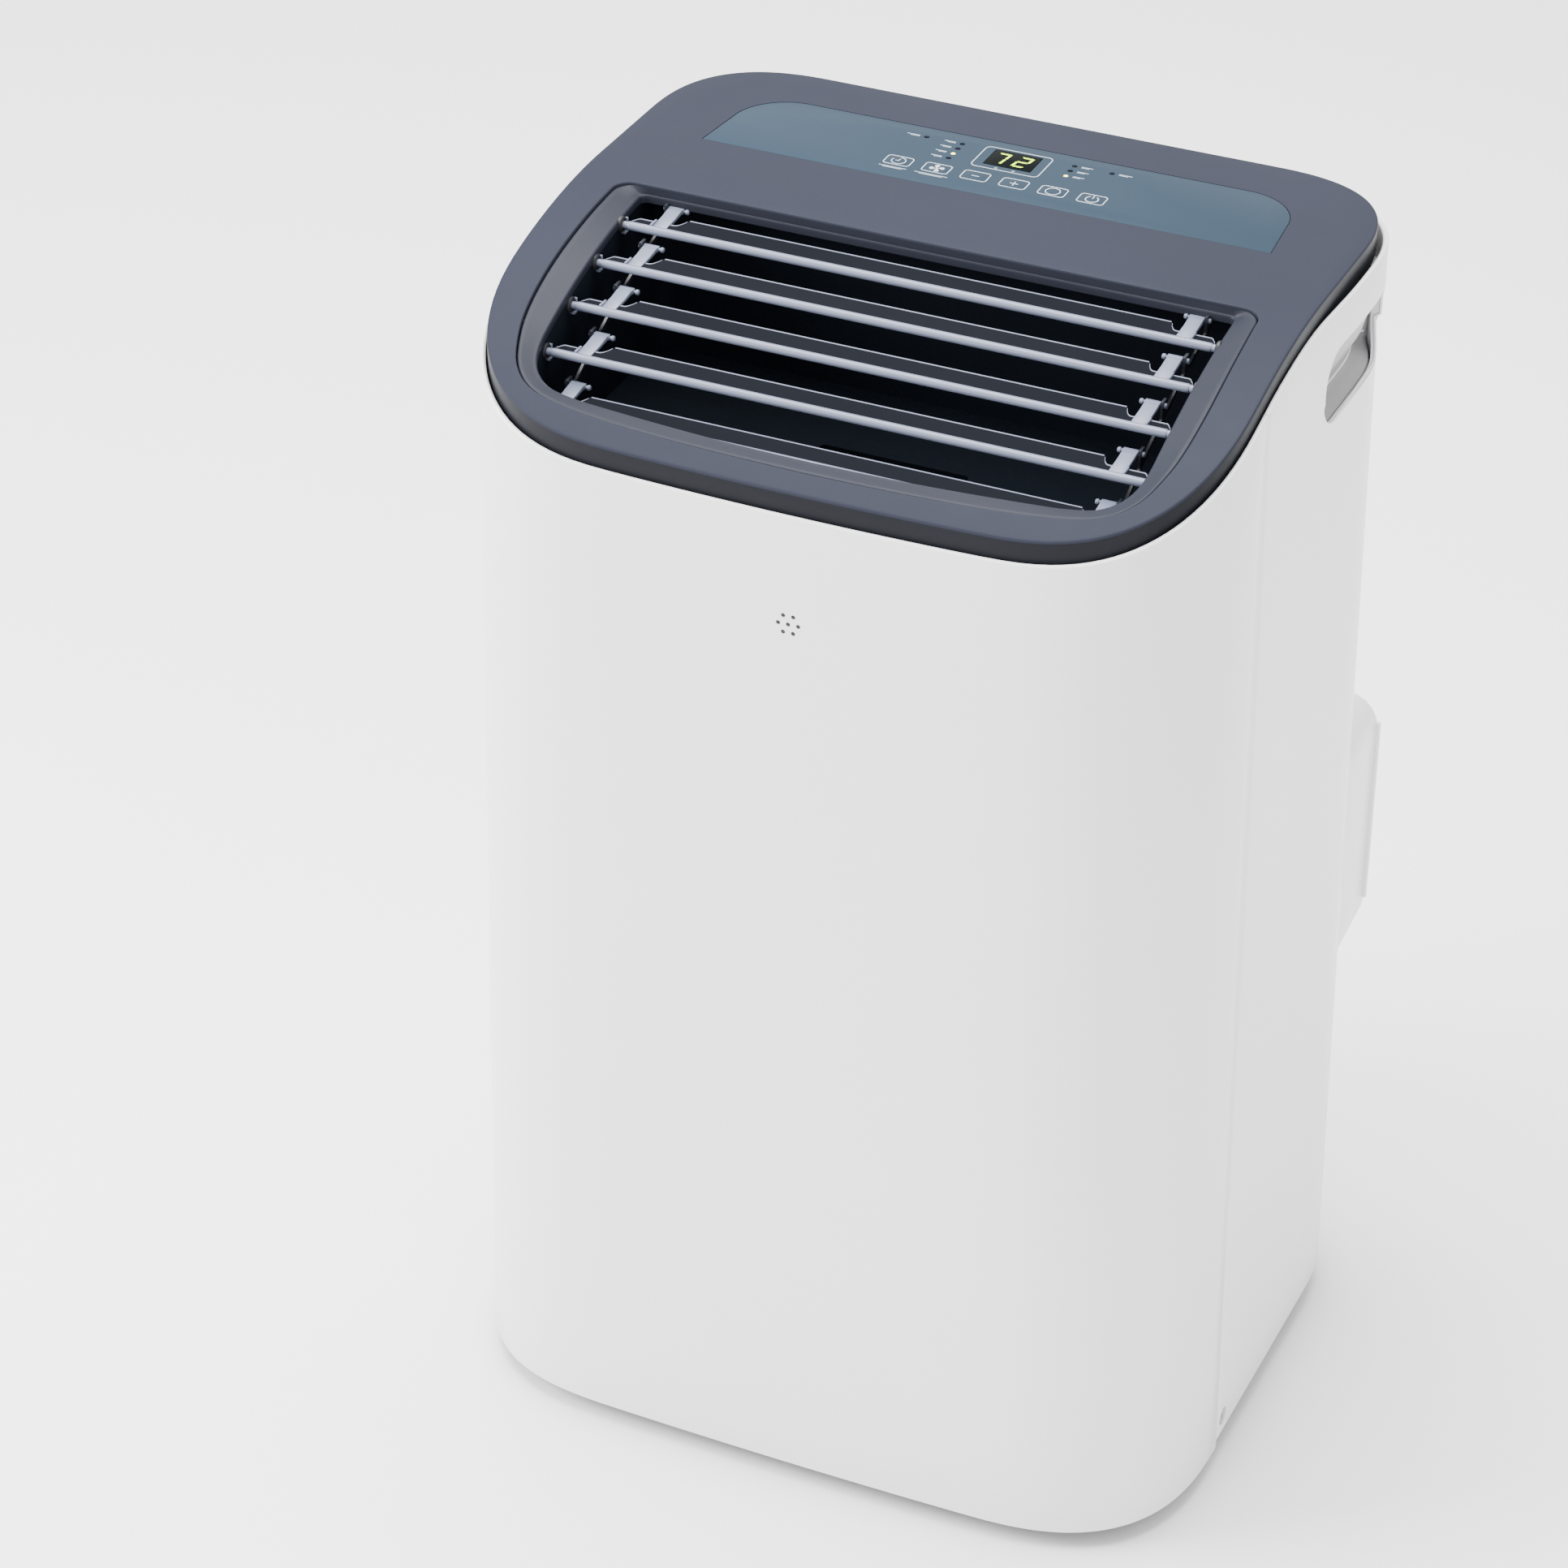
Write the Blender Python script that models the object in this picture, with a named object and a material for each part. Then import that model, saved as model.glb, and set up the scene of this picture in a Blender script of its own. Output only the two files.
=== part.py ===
"""Portable air conditioner: casing, key panel, louvred outlet, cooling parts, intake grilles and casters.

Sizes are in millimetres and become metres where a mesh or an object is made. Local axes run X to the right,
Y to the back and Z up from the lower edge of the front shell. One empty, the plan centre, carries everything:
it lifts the casing clear of the floor and centres the whole object over the origin.
"""

import math

import bmesh
import bpy
from mathutils import Vector

MM = 0.001

# Casing
CASE_WIDTH = 440.0
CASE_DEPTH = 341.4
CASE_HEIGHT = 688.0
SIDE_TAPER = 10.8
FRONT_BOW = 5.6
FRONT_RADIUS = 110.7
FRONT_POWER = 2.74
REAR_RADIUS = 81.0
REAR_POWER = 2.6
SHELL_WALL = 2.8
SEAM_Y = -61.6
SEAM_GAP = 0.4
REAR_SHELL_LIFT = 5.3
FLOOR_GAP = 12.0
FIT = 0.4
CORNER_STEPS = 7

# Top cover
TOP_FLAT_FROM = 30.0
TOP_CURVE = 0.00146
BAND_HEIGHT = 9.5
BAND_INSET = 3.5
SKIRT_DEPTH = 6.0
BLANK_LOW = CASE_HEIGHT - 128.0
BLANK_HIGH = CASE_HEIGHT + 32.0
COVER_WALL = 2.4
TOP_BULGE = 2.7
BULGE_HEIGHT = 50.0

# Air outlet
OUTLET_HALF = 168.0
OUTLET_BACK = 2.7
OUTLET_FRONT = -148.5
OUTLET_CORNER = 34.0
FLANGE_HALF = 184.0
FLANGE_BACK = 4.6
FLANGE_FRONT = -156.0
FLANGE_WALL = 3.0
DUCT_WALL = 2.6
DUCT_BACK = 24.0
DUCT_FLOOR = CASE_HEIGHT - 110.0

# Louvres: the pivots follow the curved top at one pitch
LOUVRE_COUNT = 5
LOUVRE_FIRST_Y = -22.0
LOUVRE_PITCH = 31.6
LOUVRE_FIRST_SINK = 9.0
LOUVRE_SINK_STEP = 2.4
LOUVRE_HALF = 164.5
LOUVRE_CHORD = 18.0
LOUVRE_PIN_RADIUS = 2.5
LINK_ARM_X = 147.5
LINK_ARM_WIDTH = 8.0
LINK_REACH = LOUVRE_CHORD + 6.5
LINK_RISE = 1.5
LINK_PIN_RADIUS = 1.6
LINK_BAR_WALL = 1.5
DRIVEN_LOUVRE = 4

# Key panel
PANEL_FRONT = 67.0
PANEL_BACK = 132.0
PANEL_HALF = 161.5
PANEL_CORNER = 32.0
PANEL_WALL = 1.2
KEY_PITCH = 22.3
KEY_Y = 87.0
KEY_WIDTH = 15.5
KEY_DEPTH = 11.0
KEY_TRAVEL = 0.6
KEY_GAP = 0.3
DISPLAY_WIDTH = 27.2
DISPLAY_DEPTH = 19.2
DISPLAY_Y = 112.9
LAMP_RADIUS = 1.4
LAMP_COLUMN_X = 32.6
LAMP_OUTER_X = 53.9
LAMP_TOP_Y = 120.8
LAMP_PITCH = 6.45

# Hand grips
GRIP_FRONT_Y = 27.0
GRIP_BACK_Y = 139.0
GRIP_LOW = 610.0
GRIP_HIGH = 655.0
GRIP_DEPTH = 13.0
GRIP_WALL = 2.0

# Rear openings
GRILLE_HALF = 126.0
UPPER_GRILLE = (385.0, 600.0)
LOWER_GRILLE = (44.0, 186.0)
GRILLE_WALL = 3.0
SLOT_PITCH = 11.8
SLOT_HEIGHT = 7.4
FILTER_WALL = 2.6
HOOD_HALF = 204.0
HOOD_LOW = 205.0
HOOD_HIGH = 354.0
HOOD_BACK = 200.0
HOOD_CORNER = 20.0
HOOD_WALL = 2.4
RAIL_PROUD = 1.8
COLLAR_RADIUS = 66.0
COLLAR_WALL = 3.0
COLLAR_BACK = 212.0
EXHAUST_Z = 279.5

# Inside
DECK_Z = 355.0
DECK_WALL = 2.5
UPPER_WHEEL_RADIUS = 84.0
UPPER_WHEEL_DEPTH = 60.0
UPPER_WHEEL_Z = CASE_HEIGHT - 206.0
UPPER_SCROLL_Y = (-58.0, 22.0)
LOWER_WHEEL_RADIUS = 62.0
LOWER_WHEEL_DEPTH = 50.0
LOWER_WHEEL_X = -55.0
LOWER_WHEEL_Z = 132.0
LOWER_SCROLL_Y = (34.0, 104.0)
SCROLL_WALL = 2.0
SCROLL_GROWTH = 0.42
WHEEL_CLEARANCE = 6.0
BLADES = 14
MOTOR_RADIUS = 38.0
COIL_DEPTH = 30.0
COIL_HALF = 152.0
COIL_TEETH = 14
COMPRESSOR_RADIUS = 57.0
COMPRESSOR_X = 86.0
COMPRESSOR_Y = -30.0
FOOT_ANGLE = math.radians(67)
PIPE_RADIUS = 4.0

# Base and casters
PAN_LOW = 4.0
PAN_INSET = SHELL_WALL + 0.6
PAN_WALL = 2.5
PAN_RIM = 24.0
CASTER_X = 148.0
CASTER_Y = 112.0
CASTER_WELL = 37.0
CASTER_WELL_TOP = 38.0
WHEEL_RADIUS = 19.0
WHEEL_WIDTH = 14.0
AXLE_RADIUS = 3.0
AXLE_GAP = 0.25
STEM_RADIUS = 4.0
TRAIL = 13.0
SCREW_Y = -52.1
SCREW_Z = 22.7 - 6.0
SCREW_HOLE_RADIUS = 5.4

WHITE = ("shell_white", (0.75, 0.75, 0.77), 0.35, 0.0)
COVER_GREY = ("cover_grey", (0.155, 0.165, 0.205), 0.42, 0.0)
PANEL_GREY = ("panel_grey", (0.16, 0.22, 0.29), 0.18, 0.0)
INNER_DARK = ("inner_dark", (0.02, 0.024, 0.032), 0.5, 0.0)
BLADE_GREY = ("blade_grey", (0.30, 0.33, 0.40), 0.35, 0.0)
GRIP_GREY = ("grip_grey", (0.40, 0.40, 0.43), 0.5, 0.0)
BLACK = ("black_plastic", (0.03, 0.03, 0.035), 0.45, 0.0)
ENAMEL = ("compressor_black", (0.03, 0.03, 0.035), 0.35, 0.0)
GLASS_BLACK = ("display_black", (0.01, 0.012, 0.012), 0.1, 0.0)
STEEL = ("steel", (0.55, 0.56, 0.58), 0.35, 1.0)
COPPER = ("copper", (0.75, 0.36, 0.2), 0.3, 1.0)
FIN = ("fin_aluminium", (0.75, 0.77, 0.8), 0.4, 1.0)
BOARD = ("board_green", (0.03, 0.2, 0.08), 0.5, 0.0)
RUBBER = ("rubber", (0.03, 0.03, 0.03), 0.8, 0.0)
MESH = ("filter_mesh", (0.12, 0.13, 0.15), 0.8, 0.0)


# ---------------------------------------------------------------- geometry helpers


def polygon(points, lo, hi, axis="z"):
    """A straight prism on an outline of (u, v) points, from lo to hi along an axis."""
    place = {
        "z": lambda u, v, w: (u, v, w),
        "y": lambda u, v, w: (u, w, v),
        "x": lambda u, v, w: (w, u, v),
    }[axis]
    return loft([[place(u, v, w) for u, v in points] for w in (lo, hi)])


def loft(rings, wrap=False):
    """Rings of equal length joined by quads, closed by two caps or, with wrap, joined into a ring."""
    count = len(rings[0])
    verts = [point for ring in rings for point in ring]
    faces = []
    last = len(rings) if wrap else len(rings) - 1
    for level in range(last):
        low, high = level * count, ((level + 1) % len(rings)) * count
        for i in range(count):
            j = (i + 1) % count
            faces.append((low + i, low + j, high + j, high + i))
    if not wrap:
        faces.append(tuple(range(count)))
        faces.append(tuple(range(len(verts) - count, len(verts))))
    return verts, faces


def sheet(front, back):
    """A closed wall between two grids of points of the same size."""
    rows, columns = len(front), len(front[0])
    verts = [p for row in front for p in row] + [p for row in back for p in row]
    other = rows * columns
    faces = []
    for r in range(rows - 1):
        for c in range(columns - 1):
            a, b = r * columns + c, (r + 1) * columns + c
            faces.append((a, a + 1, b + 1, b))
            faces.append((a + other, a + 1 + other, b + 1 + other, b + other))
    rim = [c for c in range(columns)]
    rim += [r * columns + columns - 1 for r in range(1, rows)]
    rim += [(rows - 1) * columns + c for c in range(columns - 2, -1, -1)]
    rim += [r * columns for r in range(rows - 2, 0, -1)]
    for i, a in enumerate(rim):
        b = rim[(i + 1) % len(rim)]
        faces.append((a, b, b + other, a + other))
    return verts, faces


def box(lo, hi):
    return polygon([(lo[0], lo[1]), (hi[0], lo[1]), (hi[0], hi[1]), (lo[0], hi[1])], lo[2], hi[2])


def circle(radius, steps, centre=(0.0, 0.0), start=0.0):
    turn = math.tau / steps
    return [
        (centre[0] + radius * math.cos(start + i * turn), centre[1] + radius * math.sin(start + i * turn))
        for i in range(steps)
    ]


def turned(profile, centre, axis="z", steps=16, wrap=False):
    """A turned solid: profile of (radius, height) pairs round an axis through centre."""
    rings = []
    for radius, height in profile:
        ring = []
        for u, v in circle(radius, steps):
            if axis == "z":
                point = (centre[0] + u, centre[1] + v, centre[2] + height)
            elif axis == "y":
                point = (centre[0] + u, centre[1] + height, centre[2] + v)
            else:
                point = (centre[0] + height, centre[1] + u, centre[2] + v)
            ring.append(point)
        rings.append(ring)
    return loft(rings, wrap)


def tube(path, radius, steps=8):
    """A round bar along a path of points; its rings turn with the path."""
    points = [Vector(p) for p in path]
    rings = []
    side = None
    for i, point in enumerate(points):
        ahead = (points[min(i + 1, len(points) - 1)] - points[max(i - 1, 0)]).normalized()
        if side is None:
            side = ahead.orthogonal().normalized()
        side = (side - ahead * side.dot(ahead)).normalized()
        up = ahead.cross(side)
        rings.append([point + side * (radius * u) + up * (radius * v) for u, v in circle(1.0, steps)])
    return loft(rings)


def rounded(x0, x1, y0, y1, radius, steps=3):
    """A rectangle's outline with round corners."""
    points = []
    centres = (
        (x1 - radius, y1 - radius), (x0 + radius, y1 - radius), (x0 + radius, y0 + radius),
        (x1 - radius, y0 + radius),
    )
    for quarter, (cx, cy) in enumerate(centres):
        for k in range(steps + 1):
            angle = (quarter + k / steps) * math.pi / 2
            points.append((cx + radius * math.cos(angle), cy + radius * math.sin(angle)))
    return points


def together(*shapes):
    """Several separate shapes as one mesh, for a tool that cuts or joins them all at once."""
    verts, faces = [], []
    for shape_verts, shape_faces in shapes:
        start = len(verts)
        verts += list(shape_verts)
        faces += [tuple(start + i for i in face) for face in shape_faces]
    return verts, faces


# ---------------------------------------------------------------- object helpers


def material(look):
    name, colour, roughness, metallic = look
    found = bpy.data.materials.get(name)
    if found:
        return found
    made = bpy.data.materials.new(name)
    made.use_nodes = True
    shader = made.node_tree.nodes["Principled BSDF"]
    shader.inputs["Base Color"].default_value = (*colour, 1.0)
    shader.inputs["Roughness"].default_value = roughness
    shader.inputs["Metallic"].default_value = metallic
    made.diffuse_color = (*colour, 1.0)
    return made


def mesh_of(name, shape, pivot):
    verts, faces = shape
    work = bmesh.new()
    made = [work.verts.new((Vector(v) - Vector(pivot)) * MM) for v in verts]
    for face in faces:
        work.faces.new([made[i] for i in face])
    bmesh.ops.recalc_face_normals(work, faces=work.faces)
    data = bpy.data.meshes.new(name)
    work.to_mesh(data)
    work.free()
    return data


def add(name, shape, look, pivot=(0.0, 0.0, 0.0)):
    """A piece: its origin is its pivot, which on a moving piece lies on the joint's axis."""
    data = mesh_of(name, shape, pivot)
    data.materials.append(material(look))
    piece = bpy.data.objects.new(name, data)
    bpy.context.scene.collection.objects.link(piece)
    piece.parent = PLAN_CENTRE
    piece.location = Vector(pivot) * MM
    return piece


def work_on(piece, operation, shape):
    """Joins a shape to a piece, cuts it away, or keeps what both hold, and bakes the result."""
    tool = add("tool", shape, WHITE)
    tool.hide_render = True
    tool.display_type = "WIRE"
    step = piece.modifiers.new("shape", "BOOLEAN")
    step.operation = operation
    step.object = tool
    bpy.context.view_layer.update()
    graph = bpy.context.evaluated_depsgraph_get()
    result = bpy.data.meshes.new_from_object(piece.evaluated_get(graph))
    piece.modifiers.remove(step)
    old = piece.data
    piece.data = result
    result.name = piece.name
    bpy.data.meshes.remove(old)
    tool_mesh = tool.data
    bpy.data.objects.remove(tool)
    bpy.data.meshes.remove(tool_mesh)
    return piece


def cut(piece, *shapes):
    return work_on(piece, "DIFFERENCE", together(*shapes))


def join(piece, *shapes):
    for shape in shapes:
        work_on(piece, "UNION", shape)
    return piece


def keep(piece, shape):
    return work_on(piece, "INTERSECT", shape)


def copy_of(piece, name, location):
    twin = bpy.data.objects.new(name, piece.data)
    bpy.context.scene.collection.objects.link(twin)
    twin.parent = PLAN_CENTRE
    twin.location = Vector(location) * MM
    return twin


# ---------------------------------------------------------------- casing outline


def half_width(z):
    return CASE_WIDTH / 2 - SIDE_TAPER * z / CASE_HEIGHT


def top_z(y):
    """Height of the top face: flat at the back, falling away in a parabola to the front."""
    return CASE_HEIGHT - TOP_CURVE * max(0.0, TOP_FLAT_FROM - y) ** 2


def rim_z(y):
    return top_z(y) - BAND_HEIGHT


def corner(width, inset, radius, power, rear):
    """The quarter round from the side to the front or the back, on the +X side."""
    points = []
    for k in range(CORNER_STEPS + 1):
        angle = math.pi / 2 * k / CORNER_STEPS
        along, across = math.cos(angle) ** (2 / power), math.sin(angle) ** (2 / power)
        x = width - radius + (radius - inset) * along
        y = CASE_DEPTH / 2 - radius + (radius - inset) * across
        points.append((x, y if rear else -y))
    return points


def bowed(point, width):
    x, y = point
    share = min(1.0, max(0.0, -2 * y / CASE_DEPTH))
    return (x, y - FRONT_BOW * (1 - (x / width) ** 2) * share)


def front_run(z, inset):
    """The front shell's outline from the seam on the right, round the front, to the seam on the left."""
    width = half_width(z)
    half = [(width - inset, SEAM_Y)] + corner(width, inset, FRONT_RADIUS, FRONT_POWER, False)[1:]
    edge = half[-1][0]
    half += [(edge * 0.5, half[-1][1])]
    middle = [(0.0, half[-1][1])]
    run = half + middle + [(-x, y) for x, y in reversed(half)]
    return [bowed(p, width) for p in run]


def rear_run(z, inset):
    """The rear shell's outline from the seam on the right, round the back, to the seam on the left."""
    width = half_width(z)
    seam = SEAM_Y + SEAM_GAP
    straight = CASE_DEPTH / 2 - REAR_RADIUS
    half = [(width - inset, seam + (straight - seam) * k / 3) for k in range(3)]
    half += corner(width, inset, REAR_RADIUS, REAR_POWER, True)
    return half + [(-x, y) for x, y in reversed(half)]


def case_outline(z, inset):
    """The whole closed outline at one height."""
    rear = rear_run(z, inset)[1:-1]
    return front_run(z, inset) + list(reversed(rear))


def top_slab(drop_high, drop_low, half=260.0):
    """The space between two copies of the top face, each lowered by its own drop."""
    ys = [240.0, TOP_FLAT_FROM] + [TOP_FLAT_FROM - (TOP_FLAT_FROM + 190.0) * k / 9 for k in range(1, 10)]
    upper = [(y, top_z(y) - drop_high) for y in ys]
    lower = [(y, top_z(y) - drop_low) for y in reversed(ys)]
    return polygon(upper + lower, -half, half, "x")


# ---------------------------------------------------------------- shells and cover


def bulge(y):
    """How far the rear shell's top edge stands proud, growing from nothing behind the seam."""
    share = min(1.0, max(0.0, (y - 0.0) / 80.0))
    return TOP_BULGE * share * share * (3 - 2 * share)


def make_front_shell():
    def grid(inset):
        low = [(x, y, 0.0) for x, y in front_run(0.0, inset)]
        high = [(x, y, rim_z(y)) for x, y in front_run(CASE_HEIGHT - 50.0, inset)]
        return [low, high]

    shell = add("front_shell", sheet(grid(0.0), grid(SHELL_WALL)), WHITE)
    front = -CASE_DEPTH / 2 - FRONT_BOW
    centres = [(0.0, 554.0)] + circle(5.3, 6, (0.0, 554.0), math.pi / 6)
    holes = [polygon(circle(1.15, 6, c), front - 2, front + SHELL_WALL + 2, "y") for c in centres]
    return cut(shell, *holes)


def make_rear_shell():
    """The side and back wall: its top edge bulges, and it has the openings for grips, grilles and duct."""

    def outer(z_of, share):
        ring = []
        base = rear_run(z_of(0.0), 0.0)
        grown = rear_run(z_of(0.0), -1.0)
        for (x, y), (gx, gy) in zip(base, grown):
            out = bulge(y) * share
            ring.append((x + (gx - x) * out, y + (gy - y) * out, z_of(y)))
        return ring

    levels = [
        (lambda y: REAR_SHELL_LIFT, 0.0),
        (lambda y: rim_z(y) - BULGE_HEIGHT - 5.0 + 0.0 * y, 0.0),
        (lambda y: rim_z(y) - BULGE_HEIGHT + 3.0, 1.0),
        (rim_z, 1.0),
    ]
    front = [outer(z_of, share) for z_of, share in levels]
    back = []
    for z_of, _ in levels:
        back.append([(x, y, z_of(y)) for x, y in rear_run(z_of(0.0), SHELL_WALL)])
    shell = add("rear_shell", sheet(front, back), WHITE)
    rear = CASE_DEPTH / 2
    grip = rounded(GRIP_FRONT_Y, GRIP_BACK_Y, GRIP_LOW, GRIP_HIGH, 21.0, 4)
    near, far = 150.0, 240.0
    tools = [polygon(grip, near, far, "x"), polygon(grip, -far, -near, "x")]
    for low, high in (UPPER_GRILLE, LOWER_GRILLE):
        tools.append(box((-GRILLE_HALF, rear - 20, low), (GRILLE_HALF, rear + 20, high)))
    tools.append(box((-82, rear - 20, HOOD_LOW + 8), (82, rear + 20, HOOD_HIGH - 4)))
    tools.append(turned([(6.2, -20), (6.2, 20)], (CORD_X, rear, CORD_Z), "y", 12))
    tools.append(turned([(5.2, -20), (5.2, 20)], (0, rear, DRAIN_LOW_Z), "y", 10))
    tools.append(turned([(5.2, -20), (5.2, 20)], (DRAIN_HIGH_X, rear, DRAIN_HIGH_Z), "y", 10))
    for sign in (1, -1):
        tools.append(
            turned(
                [(SCREW_HOLE_RADIUS, -15), (SCREW_HOLE_RADIUS, 15)],
                (sign * (CASE_WIDTH / 2 - 1.0), SCREW_Y, SCREW_Z),
                "x",
                12,
            )
        )
    return cut(shell, *tools)


def make_top_cover():
    """The dark lid: a thin shell under the curved top face, with a skirt that drops inside the white rim."""
    outline = case_outline(CASE_HEIGHT - 20.0, BAND_INSET)
    cover = add("top_cover", polygon(outline, BLANK_LOW, BLANK_HIGH), COVER_GREY)
    keep(cover, top_slab(0.0, BAND_HEIGHT + SKIRT_DEPTH))
    inner = add(
        "hollow",
        polygon(case_outline(CASE_HEIGHT - 20.0, BAND_INSET + COVER_WALL), BLANK_LOW - 20.0, BLANK_HIGH),
        COVER_GREY,
    )
    keep(inner, top_slab(COVER_WALL, 60.0))
    hollow = ([v.co / MM for v in inner.data.vertices], [tuple(p.vertices) for p in inner.data.polygons])
    old = inner.data
    bpy.data.objects.remove(inner)
    bpy.data.meshes.remove(old)
    cut(cover, hollow)
    cut(cover, polygon(flange_outline(FIT), BLANK_LOW, BLANK_HIGH))
    cut(cover, polygon(panel_outline(FIT), CASE_HEIGHT - PANEL_WALL - 0.3, BLANK_HIGH))
    holes = panel_holes(KEY_GAP + 0.25)
    return cut(cover, *holes)


def flange_outline(grow):
    """The outlet frame's outer edge: a straight back edge and an arched front edge that follows the bow."""
    half, back, front = FLANGE_HALF + grow, FLANGE_BACK + grow, FLANGE_FRONT - grow
    points = rounded(-half, half, front, back, 10.0, 2)[:6]
    radius = 46.0 + grow
    for side, start in ((-1, math.pi), (1, 1.5 * math.pi)):
        for k in range(6):
            angle = start + math.pi / 2 * k / 5
            points.append(
                (
                    side * (half - radius) + radius * math.cos(angle),
                    front + radius + radius * math.sin(angle),
                )
            )
    return [bow_edge(p, half, front) for p in points]


def outlet_outline(grow):
    """The mouth of the outlet: small back corners and large front corners."""
    half, back, front = OUTLET_HALF + grow, OUTLET_BACK + grow, OUTLET_FRONT - grow
    points = rounded(-half, half, front, back, 5.0, 2)[:6]
    radius = OUTLET_CORNER + grow
    for side, start in ((-1, math.pi), (1, 1.5 * math.pi)):
        for k in range(6):
            angle = start + math.pi / 2 * k / 5
            points.append(
                (
                    side * (half - radius) + radius * math.cos(angle),
                    front + radius + radius * math.sin(angle),
                )
            )
    return [bow_edge(p, half, front) for p in points]


def bow_edge(point, half, front):
    x, y = point
    share = max(0.0, y / front) if y < 0 else 0.0
    return (x, y - 0.5 * FRONT_BOW * (1 - (x / half) ** 2) * share)


def make_outlet_frame():
    """The flange round the mouth, and below it the duct whose side walls carry the louvre pivots."""
    frame = add("outlet_frame", polygon(flange_outline(0.0), BLANK_LOW, BLANK_HIGH), COVER_GREY)
    keep(frame, top_slab(0.0, FLANGE_WALL))
    side, front, back = OUTLET_HALF + DUCT_WALL, OUTLET_FRONT - DUCT_WALL, DUCT_BACK + DUCT_WALL
    duct = add(
        "hollow", polygon(rounded(-side, side, front, back, 12.0, 2), DUCT_FLOOR, BLANK_HIGH), COVER_GREY
    )
    keep(duct, top_slab(COVER_WALL + 0.3, 200.0))
    walls = ([v.co / MM for v in duct.data.vertices], [tuple(p.vertices) for p in duct.data.polygons])
    old = duct.data
    bpy.data.objects.remove(duct)
    bpy.data.meshes.remove(old)
    join(frame, walls)
    inside = polygon(
        rounded(
            -OUTLET_HALF, OUTLET_HALF, OUTLET_FRONT, DUCT_BACK, 10.0, 2
        ), DUCT_FLOOR + DUCT_WALL, BLANK_HIGH
    )
    hollow = add("hollow", inside, COVER_GREY)
    keep(hollow, top_slab(COVER_WALL + 0.3 + 2.0, 200.0))
    room = ([v.co / MM for v in hollow.data.vertices], [tuple(p.vertices) for p in hollow.data.polygons])
    old = hollow.data
    bpy.data.objects.remove(hollow)
    bpy.data.meshes.remove(old)
    cut(frame, room)
    cut(frame, polygon(outlet_outline(0.0), DUCT_FLOOR + 20.0, BLANK_HIGH))
    low, high = UPPER_SCROLL_Y
    neck = box((NECK_X[0], low, DUCT_FLOOR - 5), (NECK_X[1], high, DUCT_FLOOR + 10))
    pivots = [
        turned(
            [(LOUVRE_PIN_RADIUS + 0.3, -FLANGE_HALF), (LOUVRE_PIN_RADIUS + 0.3, FLANGE_HALF)],
            (0, y, z),
            "x",
            8,
        )
        for y, z in louvre_pivots()
    ]
    return cut(frame, neck, *pivots)


# ---------------------------------------------------------------- key panel


def panel_outline(grow):
    """The glossy panel: a straight front edge and two large back corners, its ends leaning slightly in."""
    radius = PANEL_CORNER + grow
    half, front, back = PANEL_HALF + grow, PANEL_FRONT - grow, PANEL_BACK + grow
    points = [(half + 1.5, front)]
    for k in range(6):
        angle = math.pi / 2 * k / 5
        points.append(
            (half - 1.5 - radius + radius * math.cos(angle), back - radius + radius * math.sin(angle))
        )
    return points + [(-x, y) for x, y in reversed(points)]


def key_outline(grow, centre=(0.0, 0.0)):
    """A key's face: a rectangle with nicked corners."""
    w, d, nick = KEY_WIDTH / 2 + grow, KEY_DEPTH / 2 + grow, 1.6
    points = [
        (w, -d + nick), (w, d - nick), (w - nick, d), (-w + nick, d), (-w, d - nick), (-w, -d + nick),
        (-w + nick, -d), (w - nick, -d),
    ]
    return [(centre[0] + x, centre[1] + y) for x, y in points]


def key_places():
    return [(KEY_PITCH * (k - 2.5), KEY_Y) for k in range(6)]


def lamp_places():
    """Status lamps: columns of four and three beside the display, and one further out on each side."""
    left = [(-LAMP_COLUMN_X, LAMP_TOP_Y - LAMP_PITCH * k) for k in range(4)]
    right = [(LAMP_COLUMN_X, LAMP_TOP_Y - LAMP_PITCH * k) for k in range(3)]
    return left + right + [(-LAMP_OUTER_X, LAMP_TOP_Y), (LAMP_OUTER_X, LAMP_TOP_Y)]


def panel_holes(grow):
    """The openings for keys, display and lamps, each larger than what stands in it."""
    low, high = CASE_HEIGHT - 20, CASE_HEIGHT + 20
    holes = [polygon(key_outline(grow, c), low, high) for c in key_places()]
    w, d = DISPLAY_WIDTH / 2 + grow, DISPLAY_DEPTH / 2 + grow
    holes.append(box((-w, DISPLAY_Y - d, low), (w, DISPLAY_Y + d, high)))
    holes += [polygon(circle(LAMP_RADIUS + grow, 6, c), low, high) for c in lamp_places()]
    return holes


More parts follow.
